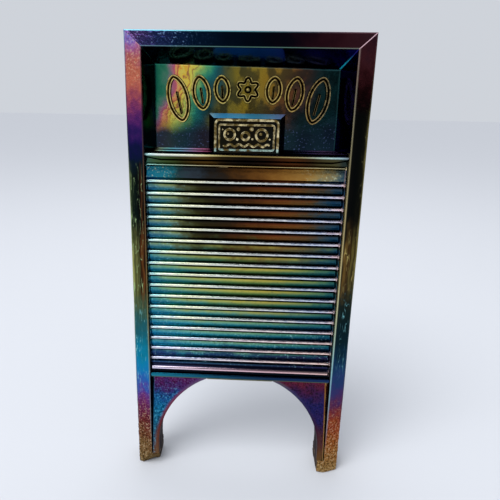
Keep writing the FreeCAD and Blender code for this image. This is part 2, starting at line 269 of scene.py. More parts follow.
def member_relief(u, y, along, stipple, streaks, seed):
    """How far the skin sinks: long mould streaks and, where stipple says, grain."""
    across = u + (y - FRONT) * 0.7
    streak = lattice_noise(across, along, 0.55, 11.0, seed)
    streak = streak + 0.5 * lattice_noise(across, along, 0.3, 5.0, seed + 1)
    grain = lattice_noise(across, along, 0.40, 0.40, seed + 2)
    grain = grain + 0.5 * lattice_noise(across, along, 0.22, 0.22, seed + 3)
    return streaks * (1.5 - streak) / 2 + stipple * (1.5 - grain) / 2


def make_stile(stipple_of_z, streaks_of_z, seed, worn):
    """The right-hand stile; mirrored afterwards for the left."""
    upper, toe = member_outline(), toe_outline()
    foot_round = 0.4
    rows = spaced((0, foot_round, 6), (foot_round, 3.4, 22), (3.4, 3.8, 6), (3.8, 22, 130),
                  (22, 90, 260), (90, TOP, 90))
    rings = []
    for z in rows:
        blend = smoothstep(3.68, 3.52, z) if z < 5 else 0.0
        outline = upper + (toe - upper) * blend
        normal = outward(outline)
        lift = max(foot_round - z, 0)
        inset = foot_round - math.sqrt(foot_round ** 2 - lift ** 2)
        sink = member_relief(outline[:, 0], outline[:, 1], np.full(len(outline), z),
                             stipple_of_z(z), streaks_of_z(z), seed)
        fade = smoothstep(TOP, TOP - 0.8, z)
        outline = outline - normal * (inset + sink * fade)[:, None]
        slant = np.clip((z - 90) / (TOP - 90), 0, 1)
        ring_z = z - outline[:, 0] * MITRE * slant
        rings.append(np.stack([HALF - outline[:, 0], outline[:, 1], ring_z], -1))
    rings = np.array(rings)
    if worn:
        wear_down(rings)
    return tube(rings)


def wear_down(rings):
    """Flattens what stands out past the slanting worn plane at the foot's inner front corner."""
    on_floor_outside = np.array([HALF - 0.8, FRONT + 1.15, 0])
    on_front = np.array([INNER_X, FRONT + 0.2, 4.4])
    on_floor_inside = np.array([LEG_INNER, FRONT + 3.4, 0])
    normal = np.cross(on_front - on_floor_outside, on_floor_inside - on_floor_outside)
    normal *= -np.sign(normal[1]) / np.linalg.norm(normal)
    past = (rings - on_front) @ normal
    dent = 0.05 * lattice_noise(rings[..., 0], rings[..., 2], 0.8, 0.8, 71) + 0.06
    past = np.where(rings[..., 2] < 8, np.maximum(past + dent, 0), 0)
    rings -= past[..., None] * normal
    rings[..., 2] = np.maximum(rings[..., 2], 0)


def make_top_rail(seed):
    outline = member_outline()
    normal = outward(outline)
    rings = []
    for t in np.linspace(-1, 1, 361):
        x = t * HALF
        stipple = 0.014 * smoothstep(-8, -18, x)
        sink = member_relief(outline[:, 0], outline[:, 1], np.full(len(outline), x), stipple, 0.02, seed)
        fade = smoothstep(1.0, 0.97, abs(t))
        skin = outline - normal * (sink * fade)[:, None]
        rings.append(np.stack([t * (HALF - skin[:, 0]), skin[:, 1], TOP - skin[:, 0] * MITRE], -1))
    return tube(np.array(rings))


# ---- crest ----
def crest_edges(x, z):
    """How far a place is inside the opening, as a share of each drafted wall: left, right, top."""
    top_edge = CREST_FLOOR_TOP + CREST_TOP_LEAN * x
    return ((INNER_X + x) / (INNER_X + CREST_FLOOR_LEFT),
            (INNER_X - x) / (INNER_X - CREST_FLOOR_RIGHT),
            (INNER_Z - z) / (INNER_Z - top_edge))


def make_crest():
    left_foot, right_foot = CREST_FLOOR_LEFT + 0.4, CREST_FLOOR_RIGHT - 0.4
    xs = spaced((-INNER_X, left_foot, 30), (left_foot, right_foot, 110), (right_foot, INNER_X, 36))
    zs = spaced((LEDGE_TOP, CREST_FLOOR_TOP - 0.8, 60), (CREST_FLOOR_TOP - 0.8, INNER_Z, 48))
    x, z = np.meshgrid(xs, zs)
    start = 0.4
    depth = FLOOR_Y - FRONT
    left, right, top = (start + share * (depth - start) for share in crest_edges(x, z))
    inset = soft_min(soft_min(soft_min(left, right, 0.1), top, 0.1), depth, 0.2)
    ripple = 0.012 * lattice_noise(x, z, 3.1, 3.7, 21) + 0.004 * lattice_noise(x, z, 0.9, 0.9, 22)
    return slab(np.stack([x, FRONT + inset + ripple, z], -1), PANEL_BACK)


# across and up, each as a share of the bead's half width and height: a flat top with round shoulders
BEAD_PROFILE = ((-1, 0), (-0.98, 0.4), (-0.9, 0.8), (-0.74, 0.98), (-0.56, 0.97), (-0.36, 0.8), (0, 0.66),
                (0.36, 0.8), (0.56, 0.97), (0.74, 0.98), (0.9, 0.8), (0.98, 0.4), (1, 0))


def bead(path, width, height, base_y, closed):
    """A raised line along a path of (x, z) points, standing out towards -Y."""
    path = np.asarray(path, float)
    if closed:
        along = np.roll(path, -1, 0) - np.roll(path, 1, 0)
        swell = np.ones(len(path))
    else:
        along = np.gradient(path, axis=0)
        reach = np.concatenate([[0], np.cumsum(np.linalg.norm(np.diff(path, axis=0), axis=1))])
        ends = np.minimum(reach, reach[-1] - reach) / (width / 2)
        swell = np.sqrt(np.clip(1 - (1 - np.clip(ends, 0.02, 1)) ** 2, 0, 1))
    across = np.stack([-along[:, 1], along[:, 0]], -1) / np.linalg.norm(along, axis=1, keepdims=True)
    rings = []
    for side, up in BEAD_PROFILE:
        spot = path + across * (side * width / 2 * swell)[:, None]
        y = base_y - up * height * (0.4 + 0.6 * swell)
        rings.append(np.stack([spot[:, 0], y, spot[:, 1]], -1))
    return tube(np.array(rings).transpose(1, 0, 2), closed)


def dome(x, z, radius, base_y, height):
    angles = np.linspace(0, 2 * math.pi, 28, endpoint=False)
    rings = []
    for rise in np.linspace(0, math.pi / 2 * 0.98, 9):
        r = radius * math.cos(rise)
        y = base_y - height * math.sin(rise)
        rings.append(np.stack([x + r * np.cos(angles), np.full(28, y), z + r * np.sin(angles)], -1))
    return tube(np.array(rings))


LEAF_TOP = 96.7
LEAVES = ((5.5, 3.95, 90.6, 5.0), (10.0, 4.35, 89.1, 9.0), (15.0, 5.05, 86.5, 13.0))


def turned(path, tilt, centre):
    c, s = math.cos(math.radians(tilt)), math.sin(math.radians(tilt))
    x, z = path[:, 0], path[:, 1]
    return np.stack([centre[0] + x * c + z * s, centre[1] - x * s + z * c], -1)


def make_leaf(middle_x, width, bottom_z, tilt):
    stroke, proud = 1.1, 0.9
    half_height = (LEAF_TOP - bottom_z) / 2 - stroke / 2
    centre = (middle_x, LEAF_TOP - half_height - stroke / 2)
    t = np.linspace(0, 2 * math.pi, 96, endpoint=False)
    reach = (width - stroke) / 2
    x = reach * np.sign(np.sin(t)) * np.abs(np.sin(t)) ** 1.25
    outline = turned(np.stack([x, half_height * np.cos(t)], -1), tilt, centre)
    vein_z = np.linspace(-half_height * 0.72, half_height * 0.35, 30)
    vein = turned(np.stack([0 * vein_z, vein_z], -1), tilt, centre)
    return [bead(outline, stroke, proud, FLOOR_Y, True), bead(vein, 0.6, proud * 0.85, FLOOR_Y, False)]


def make_leaves():
    shapes = []
    for leaf in LEAVES:
        right = make_leaf(*leaf)
        shapes += right + [mirrored(shape) for shape in right]
    return joined(shapes)


def make_blossom():
    t = np.linspace(0, 2 * math.pi, 180, endpoint=False)
    reach = 1.95 + 0.42 * np.cos(6 * t)
    centre_z = LEAF_TOP - 3.0
    petals = np.stack([reach * np.sin(t), centre_z + reach * np.cos(t)], -1)
    return joined([bead(petals, 0.95, 0.85, FLOOR_Y, True), dome(0, centre_z, 0.8, FLOOR_Y, 0.8)])


# ---- badge ----
def make_badge():
    proud = FLOOR_Y - BADGE_Y
    side_draft, top_draft = 1.2, 0.85
    face_half, face_top = BADGE_HALF - side_draft, BADGE_TOP - top_draft
    xs = spaced((-BADGE_HALF, -face_half + 0.3, 22), (-face_half + 0.3, face_half - 0.3, 50),
                (face_half - 0.3, BADGE_HALF, 22))
    zs = spaced((badge_low.z, badge_low.z + 0.8, 6), (badge_low.z + 0.8, face_top - 0.3, 26),
                (face_top - 0.3, BADGE_TOP, 22))
    x, z = np.meshgrid(xs, zs)
    side = (BADGE_HALF - np.abs(x)) * proud / side_draft
    top = (BADGE_TOP - z) * proud / top_draft
    rise = np.maximum(soft_min(soft_min(side, top, 0.1), proud, 0.2), 0)
    sill = LEDGE_TOP - (LEDGE_TOP - badge_low.z) * rise / proud
    return slab(np.stack([x, FLOOR_Y - rise, np.maximum(z, sill)], -1), FLOOR_Y)


def round_cornered(half, low, high, radius):
    corners = [(half, low, radius), (half, high, radius), (-half, high, radius), (-half, low, radius)]
    return rounded_outline(corners, (24, 48, 24, 48), 8)


def make_badge_border():
    """The outer border is open below, where it meets the ledge; the inner one is closed."""
    outer_half, outer_top, corner = 6.65, 87.5, 0.9
    turn = np.linspace(0, math.pi / 2, 9)
    arch_x = outer_half - corner + corner * np.cos(turn)
    arch_z = outer_top - corner + corner * np.sin(turn)
    leg_z = np.linspace(badge_low.z + 0.25, outer_top - corner, 24, endpoint=False)
    right = np.concatenate([np.stack([np.full(24, outer_half), leg_z], -1), np.stack([arch_x, arch_z], -1)])
    bridge_x = np.linspace(outer_half - corner, corner - outer_half, 50)[1:-1]
    bridge = np.stack([bridge_x, np.full(48, outer_top)], -1)
    outer = np.concatenate([right, bridge, right[::-1] * (-1, 1)])
    inner = round_cornered(5.84, 81.26, 86.49, 0.45)
    return joined([bead(outer, 0.52, 0.34, BADGE_Y, False), bead(inner, 0.42, 0.3, BADGE_Y, True)])


def make_bubbles():
    shapes = []
    t = np.linspace(0, 2 * math.pi, 64, endpoint=False)
    for x, z, radius in ((-3.6, 84.5, 1.35), (-0.25, 84.2, 1.05), (3.2, 84.45, 1.45)):
        ring = np.stack([x + (radius - 0.25) * np.cos(t), z + (radius - 0.25) * np.sin(t)], -1)
        shapes.append(bead(ring, 0.52, 0.5, BADGE_Y, True))
    for x, z, radius in ((-1.75, 85.6, 0.45), (1.05, 85.6, 0.5), (-1.95, 83.5, 0.36), (1.25, 83.6, 0.32),
                         (4.95, 83.6, 0.3), (-5.1, 85.5, 0.28), (-4.0, 84.7, 0.35), (3.0, 84.65, 0.4)):
        shapes.append(dome(x, z, radius, BADGE_Y, radius * 0.9))
    x = np.linspace(-5.0, 5.0, 120)
    water = np.stack([x, 82.25 + 0.24 * np.sin(x * math.pi)], -1)
    shapes.append(bead(water, 0.46, 0.42, BADGE_Y, False))
    return joined(shapes)


# ---- ledge, rubbing plate, bottom rail ----
def make_ledge():
    """A sill that slopes forward to a round nose, over a hollow; the nose runs out at both ends."""
    hollow_y = FRONT + 1.5
    outline = rounded_outline([
        (PANEL_BACK, LEDGE_TOP, 0.05),
        (FLOOR_Y, LEDGE_TOP, 0.05),
        (FRONT + 0.85, 80.5, 0.35),
        (FRONT + 0.3, 80.1, 0.45),
        (FRONT + 0.3, 79.2, 0.45),
        (FRONT + 1.25, 78.75, 0.4),
        (hollow_y, LEDGE_BOTTOM, 0.05),
        (PANEL_BACK, LEDGE_BOTTOM, 0.05),
    ], (6, 12, 3, 3, 4, 4, 6, 6), 7)
    rings = []
    for x in spaced((-INNER_X, -17.5, 34), (-17.5, 17.5, 70), (17.5, INNER_X, 34)):
        ring = outline.copy()
        full = np.sqrt(np.clip((INNER_X + 0.15 - abs(x)) / 3.6, 0, 1))
        y, z = ring[:, 0], ring[:, 1]
        proud = y < hollow_y
        nose_top = 80.15
        ring[:, 0] = np.where(proud, hollow_y + (y - hollow_y) * (0.55 + 0.45 * full), y)
        under = proud & (z < nose_top) & (z > LEDGE_BOTTOM + 0.3)
        ring[:, 1] = np.where(under, nose_top + (z - nose_top) * (0.25 + 0.75 * full), z)
        sway = 0.02 * lattice_noise(np.full(len(z), x), z, 2.5, 1.5, 33)
        rings.append(np.stack([np.full(len(z), x), ring[:, 0] + sway * proud, ring[:, 1]], -1))
    return tube(np.array(rings))


def plate_height(z):
    """How far the plate stands out from its troughs, by height."""
    crests = [(FIRST_RIB - RIB_PITCH * index, 0.47, RIB_DEPTH) for index in range(RIB_COUNT)]
    crests.append((LAST_RIB, 0.62, RIB_DEPTH + 0.2))
    height = np.zeros_like(z)
    for middle, reach, rise in crests:
        height = np.maximum(height, rise * np.exp(-(np.abs(z - middle) / reach) ** 2.5))
    band = 0.66 * smoothstep(74.75, 75.0, z) * smoothstep(77.55, 77.35, z)
    band *= 1 - 0.12 * ((z - 76.2) / 1.2) ** 2
    bead_line = 0.74 * np.exp(-(np.abs(z - 77.82) / 0.27) ** 2.6)
    scoop = 0.1 * np.cos((FIRST_RIB - z) / RIB_PITCH * 2 * math.pi)
    scoop = np.where((z < 74.2) & (z > LAST_RIB + 1.5), scoop - 0.1, 0)
    scoop = scoop * (height < 0.3) * smoothstep(0.3, 0.0, height)
    return np.maximum(np.maximum(height, band), bead_line) + scoop


def make_plate():
    end = INNER_X - 0.2
    xs = spaced((-INNER_X, -20.6, 26), (-20.6, 20.6, 62), (20.6, INNER_X, 26))
    zs = spaced((RAIL_TOP, LEDGE_BOTTOM, 640))
    x, z = np.meshgrid(xs, zs)
    wander = 0.02 * lattice_noise(x, z, 5.0, 2.7, 41)
    height = plate_height(z + wander)
    fade = np.where(x < 0, smoothstep(end + 0.1, end - 0.2, -x), smoothstep(end, end - 0.55, x))
    border = RIB_DEPTH - 0.12
    height = border + (height - border) * fade
    height = height - np.where(x < 0, 0.15, 0.55) * smoothstep(end, INNER_X, np.abs(x))
    skin = 0.006 * lattice_noise(x, z, 0.7, 0.5, 42) + 0.01 * lattice_noise(x, z, 4.0, 1.2, 43)
    y = FRONT + RIB_INSET + RIB_DEPTH - height + skin
    return slab(np.stack([x, y, z], -1), PANEL_BACK)


def make_bottom_rail():
    hollow_y = FRONT + 1.55
    band_y = FRONT + 0.85
    outline = rounded_outline([
        (BACK, RAIL_BOTTOM, 0.1),
        (band_y + 0.05, RAIL_BOTTOM, 0.12),
        (band_y, RAIL_BOTTOM + 0.95, 0.3),
        (hollow_y, RAIL_BOTTOM + 1.3, 0.2),
        (hollow_y, RAIL_TOP, 0.05),
        (BACK, RAIL_TOP, 0.05),
    ], (8, 6, 3, 3, 8, 3), 6)
    rings = []
    for x in np.linspace(-INNER_X, INNER_X, 130):
        sway = 0.015 * lattice_noise(np.full(len(outline), x), outline[:, 1], 1.3, 0.9, 51)
        y = np.minimum(outline[:, 0] + sway, BACK)
        rings.append(np.stack([np.full(len(outline), x), y, outline[:, 1]], -1))
    key = rounded_outline([
        (rail_high.y - 1.5, rail_low.z, 0.15),
        (FRONT + 1.7, rail_low.z, 0.3),
        (FRONT + 1.7, RAIL_BOTTOM, 0.02),
        (rail_high.y - 1.5, RAIL_BOTTOM, 0.02),
    ], (8, 3, 8, 3), 5)
    key_rings = [np.stack([np.full(len(key), x), key[:, 0], key[:, 1]], -1)
                 for x in np.linspace(-KEY_HALF, KEY_HALF, 40)]
    return joined([tube(np.array(rings)), tube(np.array(key_rings))])


# ---- spandrels ----
def make_spandrel(seed):
    """Right-hand corner piece: a grid from the arch's edge out to the stile and the rail."""
    count, across = 150, 46
    radius = LEG_INNER
    angle_key = math.acos(KEY_HALF / radius)
    straight = ARCH_CENTRE_Z - TOE_TOP
    length = straight + radius * angle_key
    s = np.linspace(0, length, count)
    angle = np.clip((s - straight) / radius, 0, None)
    arch_z = np.where(s < straight, TOE_TOP + s, ARCH_CENTRE_Z + radius * np.sin(angle))
    arch = np.stack([radius * np.cos(angle), arch_z], -1)
    corner = 0.52 * length
    rim_x = np.where(s < corner, INNER_X, INNER_X + (KEY_HALF - INNER_X) * (s - corner) / (length - corner))
    rim_z = np.where(s < corner, TOE_TOP + (RAIL_BOTTOM - TOE_TOP) * s / corner, RAIL_BOTTOM)
    rim = np.stack([rim_x, rim_z], -1)
    v = (np.linspace(0, 1, across) ** 1.35)[None, :, None]
    spot = arch[:, None] + (rim - arch)[:, None] * v
    x, z = spot[..., 0], spot[..., 1]

    share = (z - TOE_TOP) / (RAIL_BOTTOM - TOE_TOP)
    hollow = 0.3 + 1.4 * share
    flank = 0.15 + (INNER_X - x) * 2.3
    inset = soft_min(flank, hollow, 0.15)
    edge = np.linalg.norm((rim - arch)[:, None] * v, axis=-1)
    rounding = 0.75
    near = np.clip(rounding - edge, 0, rounding)
    inset = inset + rounding - np.sqrt(rounding ** 2 - near ** 2)
    grain = lattice_noise(x, z, 0.42, 0.42, seed) + 0.5 * lattice_noise(x, z, 0.8, 0.8, seed + 1)
    inset = inset + 0.045 * (grain + 1.5)
    return slab(np.stack([x, FRONT + inset, z], -1), PANEL_BACK)


# ---- shader helpers ----
def linear(*percents):
    """A display colour, in percent, as the linear one that shaders take."""
    colour = [percent / 100 for percent in percents]
    return tuple(c / 12.92 if c <= 0.04045 else ((c + 0.055) / 1.055) ** 2.4 for c in colour) + (1.0,)


class Value:
    """A number that the node tree works out for each place, so that finishes read as arithmetic."""

    def __init__(self, paint, socket):
        self.paint, self.socket = paint, socket

    def __add__(self, other):
        return self.paint.math("ADD", self, other)

    def __sub__(self, other):
        return self.paint.math("SUBTRACT", self, other)

    def __rsub__(self, other):
        return self.paint.math("SUBTRACT", other, self)

    def __mul__(self, other):
        return self.paint.math("MULTIPLY", self, other)

    def __truediv__(self, other):
        return self.paint.math("DIVIDE", self, other)

    def __abs__(self):
        return self.paint.math("ABSOLUTE", self)

    def span(self, low, high, smooth=True):
        """0 where this is low and 1 where it is high."""
        curve = "SMOOTHSTEP" if smooth else "LINEAR"
        made = self.paint.node("ShaderNodeMapRange", interpolation_type=curve)
        for given, name in ((self, "Value"), (low, "From Min"), (high, "From Max")):
            self.paint.wire(given, made.inputs[name])
        return Value(self.paint, made.outputs["Result"])

    def near(self, middle, reach):
        """1 where this is at middle, 0 at reach from it."""
        return abs(self - middle).span(reach, 0.0)

    def ramp(self, stops):
        """Colours by this number: stops are (number, red, green, blue), colours in percent."""
        low, high = stops[0][0], stops[-1][0]
        made = self.paint.node("ShaderNodeValToRGB")
        made.color_ramp.interpolation = "B_SPLINE"
        elements = made.color_ramp.elements
        while len(elements) < len(stops):
            elements.new(0.5)
        for index, (position, *colour) in enumerate(stops):
            elements[index].position = (position - low) / (high - low)
            elements[index].color = linear(*colour)
        self.paint.wire(self.span(low, high, smooth=False), made.inputs[0])
        return made.outputs["Color"]


COAT = 0.05                               # a thin one, so that the blacks stay deep
MATT = 0.75                               # how much less metallic a highlight is
DEAD_ROUGHNESS = 0.9


class Paint:
    """A node tree for one material; places are in millimetres, read from the object's own space."""

    def __init__(self, name, roughness=0.12):
        self.material = bpy.data.materials.new(name)
        self.material.use_nodes = True
        self.tree = self.material.node_tree
        self.surface = self.tree.nodes["Principled BSDF"]
        for socket, value in (("Roughness", roughness), ("Metallic", 1.0), ("Coat Weight", COAT),
                              ("Coat Roughness", 0.05), ("IOR", 1.52), ("Specular Tint", (0.35, 0.36, 0.40, 1))):
            self.surface.inputs[socket].default_value = value
        space = self.node("ShaderNodeTexCoord").outputs
        scale = self.node("ShaderNodeVectorMath", operation="SCALE")
        scale.inputs["Scale"].default_value = 1 / MM
        self.wire(space["Object"], scale.inputs[0])
        self.place = scale.outputs[0]
        self.x, self.y, self.z = self.parts_of(self.place)
        self.facing_x, _, self.facing_z = self.parts_of(space["Normal"])
        self.rough = roughness
        self.matt = None
        self.dead = None

    def node(self, kind, **settings):
        made = self.tree.nodes.new(kind)
        for name, value in settings.items():
            setattr(made, name, value)
        return made

    def wire(self, value, socket):
        value = getattr(value, "socket", value)
        if isinstance(value, bpy.types.NodeSocket):
            self.tree.links.new(value, socket)
        else:
            socket.default_value = value

    def parts_of(self, vector):
        split = self.node("ShaderNodeSeparateXYZ")
        self.wire(vector, split.inputs[0])
        return [Value(self, part) for part in split.outputs]

    def math(self, operation, *values):
        made = self.node("ShaderNodeMath", operation=operation)
        for value, socket in zip(values, made.inputs):
            self.wire(value, socket)
        return Value(self, made.outputs[0])

    def mix(self, share, a, b):
        made = self.node("ShaderNodeMix", data_type="RGBA", clamp_factor=True)
        for value, socket in ((share, made.inputs[0]), (a, made.inputs[6]), (b, made.inputs[7])):
            self.wire(value, socket)
        return made.outputs[2]

    def noise(self, size, detail=2.0, shift=0.0, stretch=(1, 1, 1)):
        """Noise from 0 to 1 with features about size millimetres across."""
        move = self.node("ShaderNodeMapping")
        move.inputs["Scale"].default_value = [1 / (size * s) for s in stretch]
        move.inputs["Location"].default_value = (shift, shift, shift)
        self.wire(self.place, move.inputs["Vector"])
        made = self.node("ShaderNodeTexNoise")
        made.inputs["Scale"].default_value = 1.0
        made.inputs["Detail"].default_value = detail
        self.wire(move.outputs[0], made.inputs["Vector"])
        return Value(self, made.outputs["Fac"])

    def bump(self, height, depth=0.012, strength=0.6):
        made = self.node("ShaderNodeBump")
        made.inputs["Strength"].default_value = strength
        made.inputs["Distance"].default_value = depth * MM
        self.wire(height, made.inputs["Height"])
        self.wire(made.outputs[0], self.surface.inputs["Normal"])

    def scatter(self, share):
        self.matt = share if self.matt is None else self.math("MAXIMUM", self.matt, share)

    def highlight(self, share, colour, tint):
        """Mixes in a painted highlight: a tint that also scatters light, so it stays bright whatever it mirrors.
        """
        self.scatter(share)
        return self.mix(share, colour, tint)

    def deaden(self, share, colour, tint):
        """Mixes in a tint with hardly any gloss, as painted shade on side walls seen edge on."""
        self.dead = share
        self.scatter(share * (1 / MATT))
        self.rough = self.math("MAXIMUM", self.rough, share * DEAD_ROUGHNESS)
        return self.mix(share, colour, tint)

    def finish(self, colour):
        inputs = self.surface.inputs
        if self.matt is not None:
            self.wire(self.matt * -MATT + 1.0, inputs["Metallic"])
        if self.dead is not None:
            self.wire(self.dead * -COAT + COAT, inputs["Coat Weight"])
            self.wire(self.rough, inputs["Roughness"])
        self.wire(colour, inputs["Base Color"])
        return self.material


# a near black, for dark specks and for painted shade on the sides of the reliefs
DARK = linear(3, 4, 4)


def add_grain_and_glints(paint, colour, zone, seed):
    """Moulded stipple: fine dark specks, light specks that are painted glints, and a rougher surface, where zone
    is 1.
    """
    speck = paint.noise(0.42, 3.0, seed)
    light = speck.span(0.53, 0.66) * zone
    dark = speck.span(0.5, 0.38) * zone
    upper = paint.z.span(60, 80) * -0.65 + 1.0
    colour = paint.mix(dark * (upper * 0.68), colour, DARK)
    # painted glints: light specks off the stipple
    colour = paint.mix(light * 0.4, colour, linear(90, 82, 66))
    paint.rough = zone * 0.2 + 0.14
    return colour


def add_squiggles(paint, colour, zone, tint, seed, size=0.9, width=0.02):
    """Painted reflections: thin wandering lines, drawn out up and down and broken, where zone is 1."""
    field = paint.noise(size, 2.0, seed, stretch=(1, 1, 7))
    broken = paint.noise(1.8, 2.0, seed + 1, stretch=(1, 1, 1.5)).span(0.4, 0.6)
    line = field.near(0.5, width) * (zone * broken)
    return paint.highlight(line * 0.85, colour, tint)


def inward_of(paint):
    """Distance in from the outer side."""
    return HALF - abs(paint.x)


def mitre_line(paint):
    """1 along the mitre from the outer to the inner corner."""
    down = TOP - paint.z
    return (inward_of(paint) * MITRE + down * -1.0).near(0, 0.2)


def stile_paint(name, stops, lanes, dark_lanes, streaks, grain, seed):
    """Colour by height, iridescence with painted reflections; between the streaks' ends, lanes of painted
    reflections run down the bevel.
    """
    paint = Paint(name)
    waver = paint.noise(2.2, 3.0, seed) - 0.5
    colour = (paint.z + waver * 9.0).ramp(stops)
    inward = inward_of(paint)
    wobble = paint.noise(1.2, 2.0, seed * 3, stretch=(1, 1, 5)) - 0.5
    place = inward + wobble * 1.6
    low, change, high = streaks
    height = paint.z + waver * 6.0
    lane = paint.mix(height.span(change - 4, change + 4), place.ramp(lanes), place.ramp(dark_lanes))
    zone = height.span(low, low + 8) * height.span(high, high - 5)
    colour = paint.mix(zone, colour, lane)
    grained = paint.math("MAXIMUM", paint.z.span(*grain[0]), paint.z.span(*grain[1]))
    colour = add_grain_and_glints(paint, colour, grained, seed)
    on_bevel = inward.span(0.15, 0.4) * inward.span(3.3, 3.0)
    return (paint, colour, inward, zone * on_bevel)


def edge_lines(paint, colour, inward, outer, ridge, ridge_reach=0.22):
    """Painted highlights along the outer edge and the ridge; dark outer sides, and painted shade on the inner
    walls.
    """
    # painted highlights along the outer edge and the ridge
    at_edge = inward.near(0.14, 0.26)
    colour = paint.highlight(at_edge * 0.8, colour, paint.z.ramp(outer))
    at_ridge = inward.near(MEMBER - 0.2, ridge_reach) * paint.z.span(4, 14)
    colour = paint.highlight(at_ridge * 0.8, colour, paint.z.ramp(ridge))
    # painted shade on the inner walls and the toe's inner side
    above_toe = paint.z.span(TOE_TOP - 0.1, TOE_TOP + 0.3)
    wall = inward.span(MEMBER - 0.08, MEMBER - 0.02) * above_toe
    toe = HALF - LEG_INNER
    wall = paint.math("MAXIMUM", wall, inward.span(toe - 0.25, toe - 0.08))
    colour = paint.deaden(wall, colour, linear(16, 12, 11))
    side = inward.span(0.1, 0.02) * paint.y.span(FRONT + 1.6, FRONT + 2.2)
    colour = paint.mix(side * 0.75, colour, linear(3, 4, 7))
    paint.bump(paint.noise(0.3, 3.0), 0.02, 0.7)
    return paint.finish(colour)


# stile colours by height: iridescence with painted reflections; the orange and pink near the top is a painted
# reflection of a light at the left
LEFT_HEIGHTS = [(0, 56, 46, 28), (6, 50, 36, 20), (11, 46, 20, 14), (16, 46, 14, 24), (20, 44, 22, 52),
    (23, 18, 30, 66), (27, 6, 50, 72), (32, 5, 52, 62), (37, 6, 36, 42), (43, 20, 34, 26), (50, 34, 36, 20),
    (60, 10, 14, 9), (70, 3, 8, 7), (77, 2, 10, 12), (81, 3, 6, 22), (85, 14, 7, 32), (89, 36, 14, 38),
    (91.5, 62, 28, 34), (94.5, 80, 44, 34), (98, 80, 44, 34), (101, 76, 42, 50), (103, 72, 44, 72),
    (105, 50, 52, 86)]
# lanes across the bevel, in from the outer edge: painted reflections of its wavy surface, light and dark
LEFT_LANES = [(0, 70, 68, 40), (0.4, 44, 46, 24), (0.8, 14, 18, 10), (1.2, 50, 50, 28), (1.55, 6, 6, 4),
    (1.9, 38, 38, 20), (2.2, 2, 2, 2), (2.55, 26, 14, 6), (2.85, 46, 28, 12), (3.15, 10, 6, 4),
    (3.7, 3, 3, 3)]
LEFT_DARK_LANES = [(0, 50, 52, 32), (0.35, 20, 26, 16), (0.8, 3, 8, 6), (1.7, 2, 7, 6), (2.2, 2, 2, 2),
    (2.7, 6, 4, 3), (2.95, 34, 20, 10), (3.2, 6, 4, 3), (3.7, 3, 3, 3)]


def left_stile_paint():
    paint, colour, inward, streaky = stile_paint("left_stile_paint", LEFT_HEIGHTS, LEFT_LANES,
        LEFT_DARK_LANES, (42, 62, 79), ((26, 12), (92, 99)), 1.0)
    colour = add_squiggles(paint, colour, streaky, linear(62, 74, 50), 4.0)
    lower = paint.z.span(20, 26) * paint.z.span(48, 38)
    colour = add_squiggles(paint, colour, lower, linear(55, 84, 84), 9.0, 0.7, 0.02)
    # tints of the painted highlights along the outer edge and the ridge, by height
    outer = [(0, 30, 24, 14), (14, 30, 12, 22), (26, 20, 46, 56), (45, 56, 60, 38), (72, 54, 60, 38),
        (80, 8, 20, 26), (88, 12, 5, 18), (98, 34, 20, 36), (105, 30, 60, 80)]
    ridge = [(0, 50, 42, 26), (18, 30, 46, 56), (34, 60, 58, 34), (60, 52, 36, 18), (78, 30, 22, 15),
        (90, 10, 6, 10), (105, 34, 22, 30)]
    return edge_lines(paint, colour, inward, outer, ridge)


# stile colours by height: iridescence with painted reflections
RIGHT_HEIGHTS = [(0, 66, 52, 30), (5, 62, 42, 20), (11, 64, 32, 12), (16, 56, 22, 14), (20, 34, 13, 26),
    (24, 18, 20, 42), (29, 8, 24, 38), (35, 2, 11, 14), (44, 3, 12, 12), (52, 16, 15, 9), (60, 14, 11, 6),
    (66, 2, 2, 2), (88, 1, 2, 2), (93, 10, 4, 5), (97, 40, 17, 18), (100, 56, 28, 30), (103, 36, 20, 26),
    (105, 50, 30, 36)]
# lanes across the bevel, in from the outer edge: painted reflections of its wavy surface, light and dark
RIGHT_LANES = [(0, 62, 56, 30), (0.4, 28, 24, 12), (0.8, 8, 7, 4), (1.25, 46, 40, 20), (1.6, 6, 5, 3),
    (2.0, 34, 24, 11), (2.4, 4, 3, 3), (2.85, 50, 38, 18), (3.2, 4, 4, 3), (3.7, 3, 3, 3)]
RIGHT_DARK_LANES = [(0, 50, 46, 26), (0.3, 22, 20, 10), (0.7, 2, 3, 2), (2.4, 1, 2, 2), (3.0, 4, 4, 3),
    (3.7, 3, 3, 3)]


def right_stile_paint():
    paint, colour, inward, streaky = stile_paint("right_stile_paint", RIGHT_HEIGHTS, RIGHT_LANES,
        RIGHT_DARK_LANES, (46, 63, 92), ((24, 10), (106, 120)), 2.0)
    low_streaks = streaky * paint.z.span(66, 58)
    colour = add_squiggles(paint, colour, low_streaks, linear(70, 62, 34), 3.0)
    high_streaks = streaky * (inward.near(0.6, 0.7) * 0.8)
    colour = add_squiggles(paint, colour, high_streaks, linear(44, 42, 24), 7.0)
    lower = paint.z.span(26, 32) * paint.z.span(54, 44)
    lower = lower * inward.near(1.7, 1.4)
    colour = add_squiggles(paint, colour, lower, linear(50, 80, 82), 12.0, 0.7, 0.025)
    # painted highlight along the mitre
    colour = paint.highlight(mitre_line(paint), colour, linear(100, 84, 88))
    # tints of the painted highlights along the outer edge and the ridge, by height
    outer = [(0, 50, 40, 22), (10, 60, 34, 14), (20, 30, 18, 32), (30, 10, 26, 36), (45, 14, 26, 24),
        (60, 52, 48, 26), (90, 42, 40, 24), (100, 22, 12, 16)]
    ridge = [(0, 50, 40, 26), (14, 50, 40, 50), (30, 56, 86, 90), (42, 84, 84, 62), (60, 84, 74, 50),
        (80, 60, 58, 42), (105, 50, 46, 46)]
    return edge_lines(paint, colour, inward, outer, ridge, 0.34)


